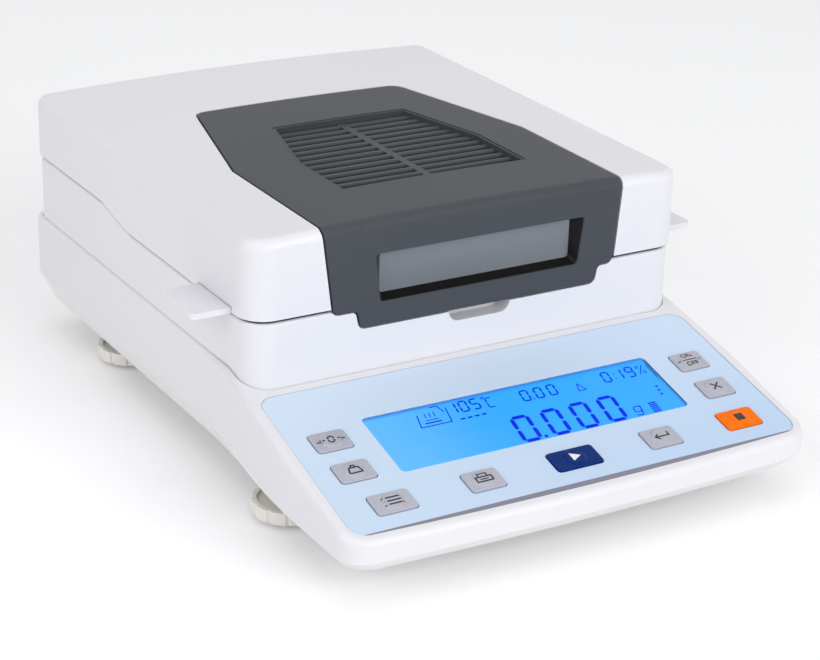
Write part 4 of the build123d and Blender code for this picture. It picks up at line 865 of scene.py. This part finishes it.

# Gauze: a near-black wire cloth clamped under the vent's slats, standing in for the shade in the
# depth under them: painted shade. It lets the heat out and keeps dust off the lamp.
# Painted shade: the cloth is near-black so that the vent's depth reads dark.
shade_gauze, tree, shader = new_material("shade_gauze")
place = tree.nodes.new("ShaderNodeTexCoord")
cloth = tree.nodes.new("ShaderNodeTexBrick")
cloth.offset = 0.0
cloth.inputs["Scale"].default_value = 1400.0
cloth.inputs["Color1"].default_value = (0.004, 0.004, 0.004, 1)
cloth.inputs["Color2"].default_value = (0.005, 0.005, 0.005, 1)
cloth.inputs["Mortar"].default_value = (0.010, 0.010, 0.011, 1)
cloth.inputs["Brick Width"].default_value = 1.0
cloth.inputs["Row Height"].default_value = 1.0
cloth.inputs["Mortar Size"].default_value = 0.2
tree.links.new(place.outputs["Object"], cloth.inputs["Vector"])
tree.links.new(cloth.outputs["Color"], shader.inputs["Base Color"])
shader.inputs["Roughness"].default_value = 0.8
bm = bmesh.new()
outline = [(-42.7, -27.6), (-42.7, 10.0), (-30.9, 57.6), (35.9, 57.6), (47.7, 10.0), (47.7, -27.6)]
bm.faces.new([bm.verts.new((x, y, 111.8)) for x, y in outline])
thicken(bm, 0.4)
to_metres(bm)
piece("vent_gauze", bm, shade_gauze, "lid")

# Window in the lid: a pane of smoked glass held in a frame behind the cover's opening. Its
# colour is painted a shade lighter towards its top, as a painted reflection.
smoked_glass, tree, shader = new_material("smoked_glass")
parts = object_axes(tree)
place = tree.nodes.new("ShaderNodeTexCoord")
cloud = tree.nodes.new("ShaderNodeTexNoise")
cloud.inputs["Scale"].default_value = 14.0
tree.links.new(place.outputs["Object"], cloud.inputs["Vector"])
# Painted reflection: the pane's colour gets lighter from its bottom to its top.
painted_reflection_rise = step_mask(tree, parts.outputs["Z"], 0.086, 0.102)
reflection_tint = mix_colours(tree, painted_reflection_rise, (0.120, 0.140, 0.160), (0.165, 0.188, 0.212))
clouded = step_mask(tree, cloud.outputs["Fac"], 0.3, 0.7)
haze = mix_colours(tree, clouded, reflection_tint, (0.150, 0.172, 0.196))
tree.links.new(haze, shader.inputs["Base Color"])
shader.inputs["Roughness"].default_value = 0.16
shader.inputs["Coat Weight"].default_value = 0.4
dress(smoked_glass, "window_pane")

# Seal: a black rubber lip under the lid's front and sides, pressed into the edge of its shell.
# It closes the gap to the collar, and is open where the cover's tongue comes down. Its black
# stands in for the shade in that gap: painted shade.
# Painted shade: the black lip makes the gap between lid and collar read dark.
gap_shade_rubber = moulded("gap_shade_rubber", (0.006, 0.006, 0.007), (0.009, 0.009, 0.010), 0.7, 0.2)
seal_half, seal_front, seal_rear = 104.6, -65.5, 149.0
seal_corner = 10.0
seal_foot, seal_top, seal_wall = 0.12, 1.68, 0.9
tongue_left, tongue_right = -69.5, 71.5
rim_low, rim_rise, step_start, step_end = 82.0, 5.6, 52.0, 81.0


def over_rim(y):
    """Height of the collar's rim, which steps up towards the hinge."""
    climbed = (y - step_start) / (step_end - step_start)
    return rim_low + rim_rise * min(1.0, max(0.0, climbed))


bm = bmesh.new()
corners = [(-seal_half, seal_front), (seal_half, seal_front), (seal_half, seal_rear),
           (-seal_half, seal_rear)]
bm.faces.new([bm.verts.new((x, y, 0)) for x, y in corners])
front_corners = [v for v in bm.verts if v.co.y < 0]
bmesh.ops.bevel(bm, geom=front_corners, offset=seal_corner, segments=10, profile=0.5,
                affect="VERTICES", material=-1)
bmesh.ops.delete(bm, geom=list(bm.faces), context="FACES_ONLY")
for spot, normal in (((tongue_left, 0, 0), (1, 0, 0)), ((tongue_right, 0, 0), (1, 0, 0)),
                     ((0, step_start, 0), (0, 1, 0)), ((0, step_end, 0), (0, 1, 0))):
    everything = list(bm.verts) + list(bm.edges)
    bmesh.ops.bisect_plane(bm, geom=everything, plane_co=spot, plane_no=normal)
gone = [e for e in bm.edges if all(abs(v.co.x - 1) < 71 and v.co.y < 0 for v in e.verts)]
gone += [e for e in bm.edges if all(v.co.y > seal_rear - 1 for v in e.verts)]
bmesh.ops.delete(bm, geom=gone, context="EDGES")
raised = bmesh.ops.extrude_edge_only(bm, edges=list(bm.edges))
tops = [v for v in raised["geom"] if isinstance(v, bmesh.types.BMVert)]
for v in bm.verts:
    v.co.z = over_rim(v.co.y) + (seal_top if v in tops else seal_foot)
bmesh.ops.recalc_face_normals(bm, faces=bm.faces)
bmesh.ops.solidify(bm, geom=list(bm.faces), thickness=seal_wall)
bmesh.ops.recalc_face_normals(bm, faces=bm.faces)
to_metres(bm)
piece("lid_seal", bm, gap_shade_rubber, "lid")

# Heater: a polished steel reflector fixed to the lid's frame with a shield over it, and a ring
# lamp of quartz glass held in spring clips. The shield is coloured black as painted shade for the
# dark inside under the vent.
polished_steel = worked_metal("polished_steel", (0.70, 0.70, 0.71), (0.64, 0.64, 0.65), 0.18,
                              spread=(1200.0, 1.0, 1.0), centre=chamber)
dress(polished_steel, "reflector")
# Painted shade: the shield is near-black so the inside seen through the vent reads dark.
shade_black_steel = moulded("shade_black_steel", (0.014, 0.014, 0.015), (0.010, 0.010, 0.011), 0.6, 0.3)
dress(shade_black_steel, "heat_shield")
quartz, tree, shader = new_material("quartz")
vary_roughness(tree, shader, 120.0, 0.03, 0.12)
shader.inputs["Base Color"].default_value = (0.96, 0.96, 0.95, 1)
shader.inputs["Transmission Weight"].default_value = 1.0
shader.inputs["IOR"].default_value = 1.46
dress(quartz, "halogen_lamp")

# Filament: a coil of tungsten wire along the middle of the ring lamp, and the ceramic caps that
# hold the tube's two ends.
tungsten = worked_metal("tungsten", (0.34, 0.33, 0.32), (0.26, 0.25, 0.25), 0.40)
lamp_radius, lamp_height = 33.0, 93.2
coil_turns, coil_radius, wire_radius = 80, 1.3, 0.16
coil_start, coil_sweep = radians(12), radians(312)
steps = coil_turns * 12
bm = bmesh.new()
bmesh.ops.create_circle(bm, segments=5, radius=wire_radius,
                        matrix=Matrix.Translation((0, coil_radius, 0)))
advance = lamp_radius * coil_sweep / steps
bmesh.ops.spin(bm, geom=list(bm.verts) + list(bm.edges), cent=(0, 0, 0), axis=(1, 0, 0),
               dvec=(advance, 0, 0), angle=tau * coil_turns, steps=steps, use_merge=False)
bmesh.ops.holes_fill(bm, edges=[e for e in bm.edges if e.is_boundary], sides=5)
bmesh.ops.recalc_face_normals(bm, faces=bm.faces)


def round_the_ring(bm):
    """Bends a straight piece along X into the ring of the lamp."""
    for v in bm.verts:
        turn = coil_start + v.co.x / lamp_radius
        reach = lamp_radius + v.co.y
        v.co = Vector((reach * cos(turn), chamber_y + reach * sin(turn), lamp_height + v.co.z)) * MM


round_the_ring(bm)
piece("lamp_filament", bm, tungsten, "lid")
ceramic = moulded("ceramic", (0.80, 0.78, 0.73), (0.76, 0.74, 0.69), 0.6, 0.3)
bm = bmesh.new()
for middle in (-lamp_radius * coil_start + 1.0, lamp_radius * (coil_sweep + coil_start) - 1.0):
    turned = Matrix.Translation((middle, 0, 0)) @ Matrix.Rotation(radians(90), 4, "Y")
    bmesh.ops.create_cone(bm, cap_ends=True, segments=32, radius1=5.0, radius2=5.0, depth=7.0,
                          matrix=turned)
ends = [e for e in bm.edges if len(e.link_faces) == 2 and e.calc_face_angle() > 1.0]
bmesh.ops.bevel(bm, geom=ends, offset=0.7, segments=3, profile=0.5, affect="EDGES", material=-1)
round_the_ring(bm)
piece("lamp_caps", bm, ceramic, "lid")
